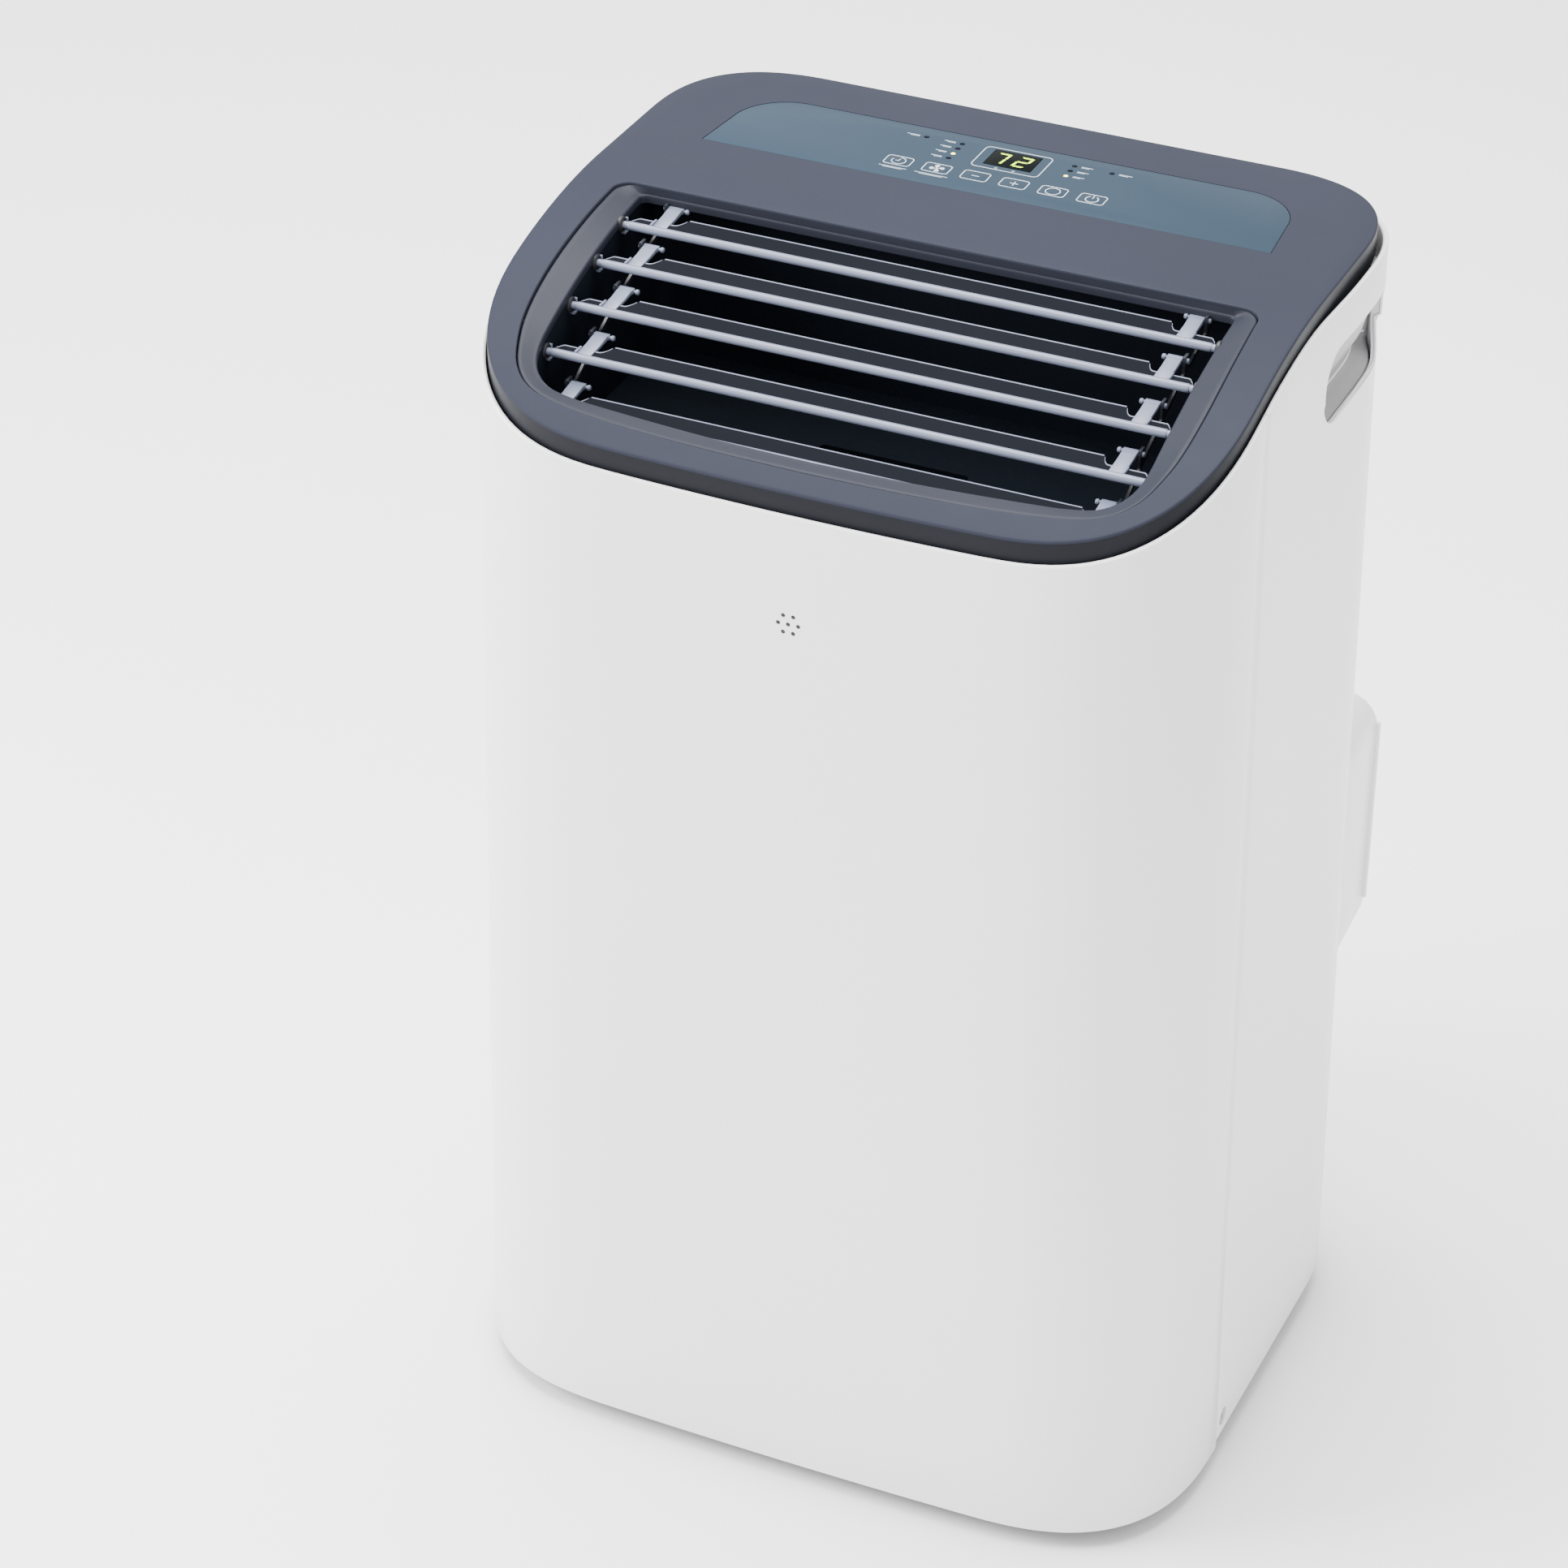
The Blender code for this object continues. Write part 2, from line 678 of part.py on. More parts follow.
def make_key_panel():
    panel = add(
        "key_panel", polygon(panel_outline(0.0), CASE_HEIGHT - PANEL_WALL, CASE_HEIGHT - 0.05), PANEL_GREY
    )
    cut(panel, *panel_holes(KEY_GAP))
    under = CASE_HEIGHT - COVER_WALL
    names = ("timer", "fan", "down", "up", "mode", "power")
    for name, (x, y) in zip(names, key_places()):
        levels = [
            (0.0, CASE_HEIGHT + 0.15),
            (0.0, under - FIT),
            (1.4, under - FIT),
            (1.4, under - FIT - 1.2),
        ]
        rings = [[(u, v, z) for u, v in key_outline(grow, (x, y))] for grow, z in levels]
        add("key_" + name, loft(rings), PANEL_GREY, (x, y, CASE_HEIGHT))
    w, d = DISPLAY_WIDTH / 2, DISPLAY_DEPTH / 2
    add(
        "display_window",
        box((-w, DISPLAY_Y - d, BOARD_TOP + FIT), (w, DISPLAY_Y + d, CASE_HEIGHT + 0.1)),
        GLASS_BLACK,
    )
    base_low, base_high = BOARD_TOP + FIT, BOARD_TOP + FIT + 2.0
    guide = add(
        "lamp_guide",
        box((-60, LAMP_TOP_Y - 22.5, base_low), (60, LAMP_TOP_Y + 5.5, base_high)),
        GLASS_BLACK,
    )
    cut(guide, box((-w - 2, DISPLAY_Y - d - 2, base_low - 5), (w + 2, DISPLAY_Y + d + 2, base_high + 5)))
    for place in lamp_places():
        join(guide, polygon(circle(LAMP_RADIUS, 6, place), base_low + 1.0, CASE_HEIGHT + 0.1))
    board = add("control_board", box((-85, 72, BOARD_TOP - 1.6), (85, 130, BOARD_TOP)), BOARD)
    chip = box((-70, 84, BOARD_TOP - 4), (-48, 106, BOARD_TOP - 1))
    socket = box((52, 88, BOARD_TOP - 9), (74, 98, BOARD_TOP - 1))
    return join(board, chip, socket)


# ---------------------------------------------------------------- louvres


def louvre_pivots():
    """(y, z) of each louvre's pivot, stepping down the curved top at one pitch."""
    places = []
    y = LOUVRE_FIRST_Y
    for k in range(LOUVRE_COUNT):
        places.append((y, top_z(y) - LOUVRE_FIRST_SINK - LOUVRE_SINK_STEP * k))
        slope = 2 * TOP_CURVE * (TOP_FLAT_FROM - y) + LOUVRE_SINK_STEP / LOUVRE_PITCH
        y -= LOUVRE_PITCH / math.hypot(1.0, slope)
    return places


def make_louvres():
    """Each blade has a thick bead on the pivot line, two link arms with cross pins, and its end pins."""
    places = louvre_pivots()
    for number, (y, z) in enumerate(places, 1):
        section = [
            (-3.0, -0.6), (-2.0, 1.7), (0.6, 2.2), (4.0, 1.1), (LOUVRE_CHORD, 0.7), (LOUVRE_CHORD, -0.7),
            (4.0, -1.1), (0.6, -2.0), (-2.0, -1.9),
        ]
        outline = [(y + u, z + v) for u, v in section]
        blade = add(
            "louvre_%d" % number, polygon(outline, -LOUVRE_HALF, LOUVRE_HALF, "x"), BLADE_GREY, (0, y, z)
        )
        end = OUTLET_HALF + DUCT_WALL
        right = end + 8.0 if number == DRIVEN_LOUVRE else end
        pins = [
            turned([(LOUVRE_PIN_RADIUS - 0.5, -end), (LOUVRE_PIN_RADIUS - 0.5, right)], (0, y, z), "x", 8)
        ]
        join(blade, *pins)
        for side in (1, -1):
            middle = side * LINK_ARM_X
            arm = [
                (y + 6, z + 0.6),
                (y + LINK_REACH, z + LINK_RISE + 1.2),
                (y + LINK_REACH, z + LINK_RISE - 1.2),
                (y + 6, z - 0.8),
            ]
            join(blade, polygon(arm, middle - LINK_ARM_WIDTH / 2, middle + LINK_ARM_WIDTH / 2, "x"))
            pin = turned(
                [
                    (LINK_PIN_RADIUS, -7.5), (LINK_PIN_RADIUS, 7.5)
                ], (middle, y + LINK_REACH, z + LINK_RISE), "x", 8
            )
            join(blade, pin)
    make_links(places)


def make_links(places):
    """One bar on each side ties the blades' cross pins together, hanging below them on short eyes."""
    pins = [(y + LINK_REACH, z + LINK_RISE) for y, z in places]
    for side, name in ((1, "right"), (-1, "left")):
        inner = side * (LINK_ARM_X + LINK_ARM_WIDTH / 2 + 0.6)
        outer = inner + side * LINK_BAR_WALL
        low, high = min(inner, outer), max(inner, outer)
        drop = 6.0
        upper = [(y + 1.5, z - drop + 1.6) for y, z in pins]
        lower = [(y + 1.5, z - drop - 1.6) for y, z in pins]
        driven = pins[DRIVEN_LOUVRE - 1]
        bar = add(
            "link_bar_" + name, polygon(upper + lower[::-1], low, high, "x"), BLADE_GREY, (0, *driven)
        )
        for y, z in pins:
            join(
                bar,
                polygon(
                    [
                        (y - 3.0, z - drop - 0.4), (y + 3.2, z - drop - 0.4), (y + 3.0, z + 3.0),
                        (y - 3.0, z + 3.0),
                    ],
                    low,
                    high,
                    "x",
                ),
            )
        cut(
            bar,
            *[
                turned([(LINK_PIN_RADIUS + 0.35, -200), (LINK_PIN_RADIUS + 0.35, 200)], (0, y, z), "x", 8)
                for y, z in pins
            ],
        )


def make_swing_motor():
    """The stepper that turns the driven louvre; its shaft hole lies off its centre."""
    y, z = louvre_pivots()[DRIVEN_LOUVRE - 1]
    start = OUTLET_HALF + DUCT_WALL + 0.4
    motor = add("swing_motor", turned([(13.0, start), (13.0, start + 17)], (0, y, z - 7.0), "x", 16), STEEL)
    return cut(
        motor, turned([(LOUVRE_PIN_RADIUS, start - 2), (LOUVRE_PIN_RADIUS, start + 9)], (0, y, z), "x", 8)
    )


# ---------------------------------------------------------------- hand grips


def side_point(share, inset, z):
    """A point on the rear shell's outline between the grip's two ends, on the +X side."""
    width = half_width(z)
    straight = CASE_DEPTH / 2 - REAR_RADIUS
    run = straight - (GRIP_FRONT_Y - 8.0)
    arc = 0.52
    total = run + REAR_RADIUS * arc * 1.2
    along = share * total
    if along <= run:
        return (width - inset, GRIP_FRONT_Y - 8.0 + along, z)
    angle = (along - run) / REAR_RADIUS
    cx = width - REAR_RADIUS
    across, back = math.cos(angle) ** (2 / REAR_POWER), math.sin(angle) ** (2 / REAR_POWER)
    return (cx + (REAR_RADIUS - inset) * across, straight + (REAR_RADIUS - inset) * back, z)


def make_grips():
    """A scoop behind each grip opening: shallow at the top, deepest at a ridge near the lower edge."""
    steps = [0.0, 0.07, 0.14, 0.3, 0.48, 0.66, 0.82, 0.93, 1.0]
    rows = [
        (GRIP_HIGH + 6.0, 0.0),
        (GRIP_HIGH + 1.0, 0.0),
        (GRIP_HIGH - 10.0, 0.35),
        (GRIP_LOW + 9.0, 1.0),
        (GRIP_LOW + 3.0, 0.6),
        (GRIP_LOW - 2.0, 0.0),
        (GRIP_LOW - 7.0, 0.0),
    ]
    for sign, name in ((1, "right"), (-1, "left")):
        front, back = [], []
        for z, depth in rows:
            line, behind = [], []
            for share in steps:
                end = min(1.0, max(0.0, (0.5 - abs(share - 0.5) - 0.05) / 0.12))
                inset = SHELL_WALL + 1.0 + (GRIP_DEPTH - SHELL_WALL) * depth * end
                x, y, _ = side_point(share, inset, z)
                line.append((sign * x, y, z))
                x, y, _ = side_point(share, inset + GRIP_WALL, z)
                behind.append((sign * x, y, z))
            front.append(line)
            back.append(behind)
        add("grip_cup_" + name, sheet(front, back), GRIP_GREY)


# ------------------------------------------------ back: grilles, filters, hood, collar, small fittings


def make_intake(prefix, low, high):
    """A slotted grille in the back opening and the filter frame clipped behind it; they pull off together."""
    rear = CASE_DEPTH / 2
    half, bottom, top = GRILLE_HALF - 0.5, low + 0.5, high - 0.5
    pivot = (0, rear, (low + high) / 2)
    grille = add(
        prefix + "_grille", box((-half, rear - GRILLE_WALL, bottom), (half, rear, top)), WHITE, pivot
    )
    rows = int((top - bottom - 12) / SLOT_PITCH)
    start = (low + high) / 2 - rows * SLOT_PITCH / 2 + (SLOT_PITCH - SLOT_HEIGHT) / 2
    slots = []
    for row in range(rows):
        z = start + row * SLOT_PITCH
        for left, right in ((-half + 7, -3), (3, half - 7)):
            slots.append(box((left, rear - 10, z), (right, rear + 10, z + SLOT_HEIGHT)))
    cut(grille, *slots)
    back = rear - GRILLE_WALL - 0.3
    frame = add(
        prefix + "_filter", box(
            (-half + 1, back - FILTER_WALL, bottom + 1), (half - 1, back, top - 1)
        ), MESH, pivot
    )
    panes = []
    wide = (2 * half - 2 - 6) / 4
    for k in range(4):
        left = -half + 1 + 3 + wide * k + 2
        panes.append(
            box((left, back - FILTER_WALL - 5, bottom + 6), (left + wide - 4, back - 0.8, top - 6))
        )
    cut(frame, *panes)


def make_hood():
    """The exhaust housing on the back: a hollow box with round upper corners that hugs the shell."""
    def section(grow):
        half, low, high, radius = HOOD_HALF + grow, HOOD_LOW - grow, HOOD_HIGH + grow, HOOD_CORNER + grow
        points = [(half - 6, low), (half, low + 8)]
        for k in range(5):
            angle = math.pi / 2 * k / 4
            points.append(
                (half - radius + radius * math.cos(angle), high - radius + radius * math.sin(angle))
            )
        return points + [(-x, z) for x, z in reversed(points)]

    hood = add("exhaust_hood", polygon(section(0.0), 100.0, HOOD_BACK, "y"), WHITE)
    rail_low, rail_high = HOOD_LOW + 12, HOOD_HIGH - HOOD_CORNER + 3
    for sign in (1, -1):
        edge = sign * (HOOD_HALF + RAIL_PROUD)
        near = sign * (HOOD_HALF - 1.5)
        join(
            hood, box((min(edge, near), HOOD_BACK - 3.0, rail_low), (max(edge, near), HOOD_BACK, rail_high))
        )
    cut(hood, polygon(section(-HOOD_WALL), 80.0, HOOD_BACK - HOOD_WALL, "y"))
    body = loft([[(x, y, z) for x, y in case_outline(z, -FIT)] for z in (150.0, 400.0)])
    cut(hood, body)
    opening = turned(
        [(COLLAR_RADIUS + FIT, -20), (COLLAR_RADIUS + FIT, 20)], (0, HOOD_BACK, EXHAUST_Z), "y", 24
    )
    cut(hood, opening)
    lip = COLLAR_RADIUS + 5.0
    start = HOOD_BACK - HOOD_WALL - 0.3
    profile = [
        (COLLAR_RADIUS - COLLAR_WALL, start - 4.0),
        (lip, start - 4.0),
        (lip, start),
        (COLLAR_RADIUS, start),
        (COLLAR_RADIUS, COLLAR_BACK),
        (COLLAR_RADIUS - COLLAR_WALL, COLLAR_BACK),
    ]
    collar = add("hose_collar", turned(profile, (0, 0, EXHAUST_Z), "y", 24, True), WHITE)
    reach = COLLAR_RADIUS - 1.0
    for offset in (-28.0, 0.0, 28.0):
        width = math.sqrt(reach * reach - offset * offset)
        z = EXHAUST_Z + offset
        join(collar, box((-width, start - 3.5, z - 1.2), (width, start + 1.0, z + 1.2)))


def make_small_fittings():
    """The lead's inlet gland, two drain plugs and the two side screws."""
    rear = CASE_DEPTH / 2
    gland = add(
        "cord_inlet",
        turned(
            [(3.6, -14), (5.8, -14), (5.8, 0.3), (9.0, 0.3), (8.0, 5.0), (3.6, 5.0)],
            (CORD_X, rear, CORD_Z),
            "y",
            12,
            True,
        ),
        BLACK,
    )
    plug = [(4.8, -12), (4.8, 0.4), (8.0, 0.4), (8.0, 3.0), (5.0, 4.0)]
    add("drain_plug_lower", turned(plug, (0, rear, DRAIN_LOW_Z), "y", 10), RUBBER)
    add("drain_plug_upper", turned(plug, (DRAIN_HIGH_X, rear, DRAIN_HIGH_Z), "y", 10), RUBBER)
    for sign, name in ((1, "right"), (-1, "left")):
        head = SCREW_SEAT + 0.3
        profile = [(1.8, head - 9.0), (1.8, head), (4.2, head), (4.2, head + 1.4), (2.6, head + 2.4)]
        if sign < 0:
            profile = [(radius, -height) for radius, height in profile]
        add("side_screw_" + name, turned(profile, (0, SCREW_Y, SCREW_Z), "x", 10), STEEL)
    return gland


# ---------------------------------------------------------------- air movers


def scroll_outline(radius, grow, top, centre):
    """A volute: a spiral that opens from the tongue round to the right, then a neck up to the top."""
    tongue = math.radians(66)
    start = radius + WHEEL_CLEARANCE
    points = []
    steps = 16
    for k in range(steps + 1):
        angle = tongue + (math.tau - tongue) * k / steps
        r = start * (1 + SCROLL_GROWTH * k / steps) + grow
        points.append((centre[0] + r * math.cos(angle), centre[1] + r * math.sin(angle)))
    points.append((points[-1][0], top))
    points.append((centre[0] + start * math.cos(tongue) - grow, top))
    points.append((centre[0] + start * math.cos(tongue) - grow, points[0][1]))
    points[0] = (
        centre[0] + (start + grow) * math.cos(tongue + 0.12),
        centre[1] + (start + grow) * math.sin(tongue + 0.12),
    )
    return points


def make_scroll(name, centre, radius, ys, top):
    """A volute housing with the wheel's inlet at the back and the motor shaft's hole in front."""
    scroll = add(
        name, polygon(scroll_outline(radius, SCROLL_WALL, top, centre), ys[0], ys[1], "y"), INNER_DARK
    )
    inner = polygon(
        scroll_outline(radius, 0.0, top + 30.0, centre), ys[0] + SCROLL_WALL, ys[1] - SCROLL_WALL, "y"
    )
    cut(scroll, inner)
    inlet = turned([(radius * 0.84, -10), (radius * 0.84, 10)], (centre[0], ys[1], centre[1]), "y", 20)
    shaft = turned([(9.0, -10), (9.0, 10)], (centre[0], ys[0], centre[1]), "y", 10)
    return cut(scroll, inlet, shaft)


def make_impeller(name, centre, radius, y0, depth):
    """A centrifugal wheel: a back disc with its hub, forward-curved blades and a front ring."""
    x, z = centre
    disc = turned(
        [(radius, 0.0), (radius, 2.0), (12.0, 2.0), (12.0, depth * 0.45), (5.0, depth * 0.45), (5.0, 0.0)],
        (x, y0, z),
        "y",
        24,
        True,
    )
    wheel = add(name, disc, BLACK, (x, y0, z))
    blades = []
    for k in range(BLADES):
        turn = math.tau * k / BLADES
        corners = []
        for share, bend, half in (
            (0.83, 0.0, 1), (0.91, 0.055, 1), (0.985, 0.14, 1), (0.985, 0.14, -1), (0.91, 0.055, -1),
            (0.83, 0.0, -1),
        ):
            angle = turn + bend + half * 0.55 / radius
            corners.append((x + radius * share * math.cos(angle), z + radius * share * math.sin(angle)))
        blades.append(polygon(corners, y0 + 1.0, y0 + depth - 1.0, "y"))
    work_on(wheel, "UNION", together(*blades))
    ring = turned(
        [(radius * 0.82, depth - 2.0), (radius, depth - 2.0), (radius, depth), (radius * 0.82, depth)],
        (x, y0, z),
        "y",
        24,
        True,
    )
    return join(wheel, ring)


def make_motor(name, centre, radius, y1, length, shaft_to):
    """A fan motor: a ribbed can with a shaft that reaches into its wheel's hub."""
    x, z = centre
    y0 = y1 - length
    profile = [
        (radius * 0.55, y0), (radius, y0 + 6), (radius, y1 - 6), (radius * 0.6, y1), (4.6, y1),
        (4.6, shaft_to),
    ]
    return add(name, turned(profile, (x, 0, z), "y", 16), STEEL)


def make_air_movers():
    upper = (0.0, UPPER_WHEEL_Z)
    make_scroll("upper_scroll", upper, UPPER_WHEEL_RADIUS, UPPER_SCROLL_Y, DUCT_FLOOR - 0.4)
    wheel_y = UPPER_SCROLL_Y[0] + SCROLL_WALL + 6.0
    make_impeller("upper_wheel", upper, UPPER_WHEEL_RADIUS, wheel_y, UPPER_WHEEL_DEPTH)
    make_motor("upper_motor", upper, MOTOR_RADIUS, UPPER_SCROLL_Y[0] - 0.4, 54.0, wheel_y + 20.0)
    lower = (LOWER_WHEEL_X, LOWER_WHEEL_Z)
    scroll = make_scroll("lower_scroll", lower, LOWER_WHEEL_RADIUS, LOWER_SCROLL_Y, DECK_Z - 6.0)
    low, high = HOOD_LOW + 10, DECK_Z - 6.0
    rear = CASE_DEPTH / 2 - SHELL_WALL - 1.0
    start = LOWER_SCROLL_Y[1] - SCROLL_WALL
    join(scroll, box((-84, start, low), (84, rear, high)))
    wall = SCROLL_WALL
    room = box((-84 + wall, start + wall, low + wall), (84 - wall, rear + 10, high - wall))
    neck_low, neck_high = lower_neck()
    passage = box((neck_low + 2, start - 5, low + wall), (neck_high - 2, start + 10, high - wall))
    cut(scroll, room)
    cut(scroll, passage)
    lid = box(
        (neck_low - 1.5, LOWER_SCROLL_Y[0] + 0.5, high - 2.0),
        (neck_high + 1.5, LOWER_SCROLL_Y[1] - 0.5, high - 0.1),
    )
    join(scroll, lid)
    wheel_y = LOWER_SCROLL_Y[0] + SCROLL_WALL + 6.0
    make_impeller("lower_wheel", lower, LOWER_WHEEL_RADIUS, wheel_y, LOWER_WHEEL_DEPTH)
    make_motor("lower_motor", lower, MOTOR_RADIUS, LOWER_SCROLL_Y[0] - 0.4, 50.0, wheel_y + 16.0)


def lower_neck():
    start = LOWER_WHEEL_RADIUS + WHEEL_CLEARANCE
    return LOWER_WHEEL_X + start * math.cos(math.radians(66)), LOWER_WHEEL_X + start * (1 + SCROLL_GROWTH)


# ---------------------------------------------------------------- cooling circuit


def make_coil(name, y, low, high):
    """A finned block, toothed along both faces, between two end plates with return bends."""
    teeth = []
    for k in range(COIL_TEETH):
        x = -COIL_HALF + 2 * COIL_HALF * k / COIL_TEETH
        teeth.append((x, 0.0))
        teeth.append((x + COIL_HALF / COIL_TEETH, 1.8))
    teeth.append((COIL_HALF, 0.0))
    near = [(x, y + d) for x, d in teeth]
    far = [(x, y + COIL_DEPTH - d) for x, d in reversed(teeth)]
    coil = add(name, polygon(near + far, low, high), FIN)
    for sign in (1, -1):
        inner, outer = sign * (COIL_HALF - 1), sign * (COIL_HALF + 2)
        join(coil, box((min(inner, outer), y - 1.5, low), (max(inner, outer), y + COIL_DEPTH + 1.5, high)))
        count = 2
        for k in range(count):
            z = low + (high - low) * (k + 0.5) / count
            bend = []
            for step in range(5):
                angle = math.pi * step / 4 - math.pi / 2
                bend.append(
                    (
                        sign * (COIL_HALF + 1 + 11 * math.cos(angle)),
                        y + COIL_DEPTH / 2,
                        z + 12 * math.sin(angle),
                    )
                )
            join(coil, tube(bend, PIPE_RADIUS, 6))
    return coil


def make_compressor():
    """The sealed compressor on its three-armed foot, the accumulator beside it, and two lines."""
    x, y = COMPRESSOR_X, COMPRESSOR_Y
    foot_z = PAN_LOW + PAN_WALL + 7.0
    profile = [
        (46.0, foot_z + 2), (COMPRESSOR_RADIUS, foot_z + 16), (COMPRESSOR_RADIUS, 205.0), (44.0, 226.0),
        (16.0, 234.0),
    ]
    body = add("compressor", turned(profile, (x, y, 0), "z", 20), ENAMEL)
    arms = [
        (x + r * math.cos(a), y + r * math.sin(a))
        for a, r in [(FOOT_ANGLE + math.tau * k / 6, 74.0 if k % 2 else 34.0) for k in range(6)]
    ]
    join(body, polygon(arms, foot_z, foot_z + 3.0))
    top = (x, y, 234.0)
    join(body, turned([(PIPE_RADIUS, -2.0), (PIPE_RADIUS, 10.0)], top, "z", 8))
    for k in (1, 3, 5):
        angle = FOOT_ANGLE + math.tau * k / 6
        spot = (x + 66.0 * math.cos(angle), y + 66.0 * math.sin(angle), 0.0)
        join(body, turned([(8.0, PAN_LOW + PAN_WALL + 0.3), (7.0, foot_z + 1.0)], spot, "z", 8))
    tank = (ACCUMULATOR_X, ACCUMULATOR_Y, 0)
    profile = [(8.0, 70.0), (ACCUMULATOR_RADIUS, 82.0), (ACCUMULATOR_RADIUS, 190.0), (8.0, 204.0)]
    add("accumulator", turned(profile, tank, "z", 12), ENAMEL)
    high = 264.0
    rise = [
        (x, y, 244.4), (x, y, high - 8), (x - 6, y + 3, high), (x - 22, y + 14, high + 4),
        (x - 34, y + 26, high + 4), (x - 40, y + 40, high - 4), (x - 40, y + 46, high - 20),
    ]
    add("discharge_line", tube(rise, PIPE_RADIUS, 8), COPPER)
    top = (ACCUMULATOR_X, ACCUMULATOR_Y, 204.4)
    climb = [
        top,
        (top[0], top[1], 232.0),
        (top[0] + 4, top[1] + 4, 244.0),
        (top[0] + 14, top[1] + 14, 252.0),
        (top[0] + 24, top[1] + 22, 262.0),
        (top[0] + 26, top[1] + 24, 290.0),
        (top[0] + 26, top[1] + 24, DECK_Z - 1.0),
    ]
    add("suction_line", tube(climb, PIPE_RADIUS, 8), COPPER)


# ---------------------------------------------------------------- deck, tray, electrics


def make_inner_structure():
    inset = SHELL_WALL + 1.2
    outline = case_outline(DECK_Z, inset)
    deck = add("mid_deck", polygon(outline, DECK_Z, DECK_Z + DECK_WALL), INNER_DARK)
    join(
        deck,
        box((-150, -128, DECK_Z + 1), (-146, 60, DECK_Z + 12)),
        box((146, -128, DECK_Z + 1), (150, 60, DECK_Z + 12)),
    )
    low = DECK_Z + DECK_WALL + 0.4
    tray = add("drain_tray", box((-166, 106, low), (166, 156, low + 15)), INNER_DARK)
    cut(tray, box((-164, 108, low + 2), (164, 154, low + 30)))
    case = add("electrical_box", box((60, -142, 385), (150, -118, 500)), STEEL)
    cut(case, box((62, -140, 387), (148, -110, 498)))
    stand = low + 0.2
    add(
        "run_capacitor",
        turned([(20.0, stand), (20.0, stand + 58), (17.0, stand + 61)], (-118, -80, 0), "z", 14),
        FIN,
    )


# ---------------------------------------------------------------- base and casters


def caster_places():
    return [(CASTER_X, -CASTER_Y), (-CASTER_X, -CASTER_Y), (CASTER_X, CASTER_Y), (-CASTER_X, CASTER_Y)]


def make_base_pan():
    """The drip pan that closes the bottom: a rimmed tray with four caster wells and two screw lugs."""
    inset = PAN_INSET
    pan = add("base_pan", polygon(case_outline(0.0, inset), PAN_LOW, PAN_RIM), INNER_DARK)
    cut(pan, polygon(case_outline(0.0, inset + PAN_WALL), PAN_LOW + PAN_WALL, PAN_RIM + 10))
    for x, y in caster_places():
        wide = CASTER_WELL + PAN_WALL
        join(pan, turned([(wide, PAN_LOW + 1), (wide, CASTER_WELL_TOP + PAN_WALL)], (x, y, 0), "z", 18))
        join(pan, turned([(8.0, CASTER_WELL_TOP + 1), (8.0, CASTER_WELL_TOP + 15.5)], (x, y, 0), "z", 8))
    for sign in (1, -1):
        ends = sorted((sign * (SCREW_SEAT - 12.0), sign * (SCREW_SEAT - 0.8)))
        join(pan, box((ends[0], SCREW_Y - 7, PAN_LOW + 1), (ends[1], SCREW_Y + 7, PAN_RIM + 4)))
    wells, sockets = [], []
    for x, y in caster_places():
        wells.append(
            turned([(CASTER_WELL, PAN_LOW - 5), (CASTER_WELL, CASTER_WELL_TOP)], (x, y, 0), "z", 18)
        )
        socket = [(STEM_RADIUS + 0.3, CASTER_WELL_TOP - 5), (STEM_RADIUS + 0.3, CASTER_WELL_TOP + 13)]
        sockets.append(turned(socket, (x, y, 0), "z", 8))
    cut(pan, *wells)
    cut(pan, *sockets)
    for sign in (1, -1):
        cut(pan, turned([(2.2, -14), (2.2, 14)], (sign * SCREW_SEAT, SCREW_Y, SCREW_Z), "x", 10))
    return pan


def make_casters():
    """Swivel casters sunk in the base: a stemmed fork that trails its wheel, and the wheel on its axle."""
    centre_z = WHEEL_RADIUS - FLOOR_GAP
    top = CASTER_WELL_TOP - 0.4
    cheek_in, cheek_out = WHEEL_WIDTH / 2 + 0.8, WHEEL_WIDTH / 2 + 3.4
    names = ("front_right", "front_left", "rear_right", "rear_left")
    fork = wheel = None
    for name, (x, y) in zip(names, caster_places()):
        hub = (x, y + TRAIL, centre_z)
        if fork is None:
            plate = turned([(15.0, top - 4.0), (15.0, top)], (x, y, 0), "z", 14)
            fork = add("caster_fork_" + name, plate, BLACK, (x, y, centre_z))
            join(fork, turned([(STEM_RADIUS, top - 1.0), (STEM_RADIUS, top + 12)], (x, y, 0), "z", 8))
            for sign in (1, -1):
                low, high = sorted((x + sign * cheek_in, x + sign * cheek_out))
                side = [
                    (y - 9, top - 2), (y + TRAIL - 6, centre_z - 5), (y + TRAIL + 6, centre_z - 5),
                    (y + TRAIL + 7, centre_z + 6), (y + 10, top - 2),
                ]
                join(fork, polygon(side, low, high, "x"))
            join(
                fork,
                turned([(AXLE_RADIUS, -cheek_out + 0.5), (AXLE_RADIUS, cheek_out - 0.5)], hub, "x", 12),
            )
            bore = AXLE_RADIUS + AXLE_GAP
            half = WHEEL_WIDTH / 2
            tread = [
                (bore, -half), (WHEEL_RADIUS - 3, -half), (WHEEL_RADIUS, -half + 3),
                (WHEEL_RADIUS, half - 3), (WHEEL_RADIUS - 3, half), (bore, half),
            ]
            wheel = add("caster_wheel_" + name, turned(tread, hub, "x", 16, True), RUBBER, hub)
        else:
            copy_of(fork, "caster_fork_" + name, (x, y, centre_z))
            copy_of(wheel, "caster_wheel_" + name, hub)


# ---------------------------------------------------------------- derived places and the build

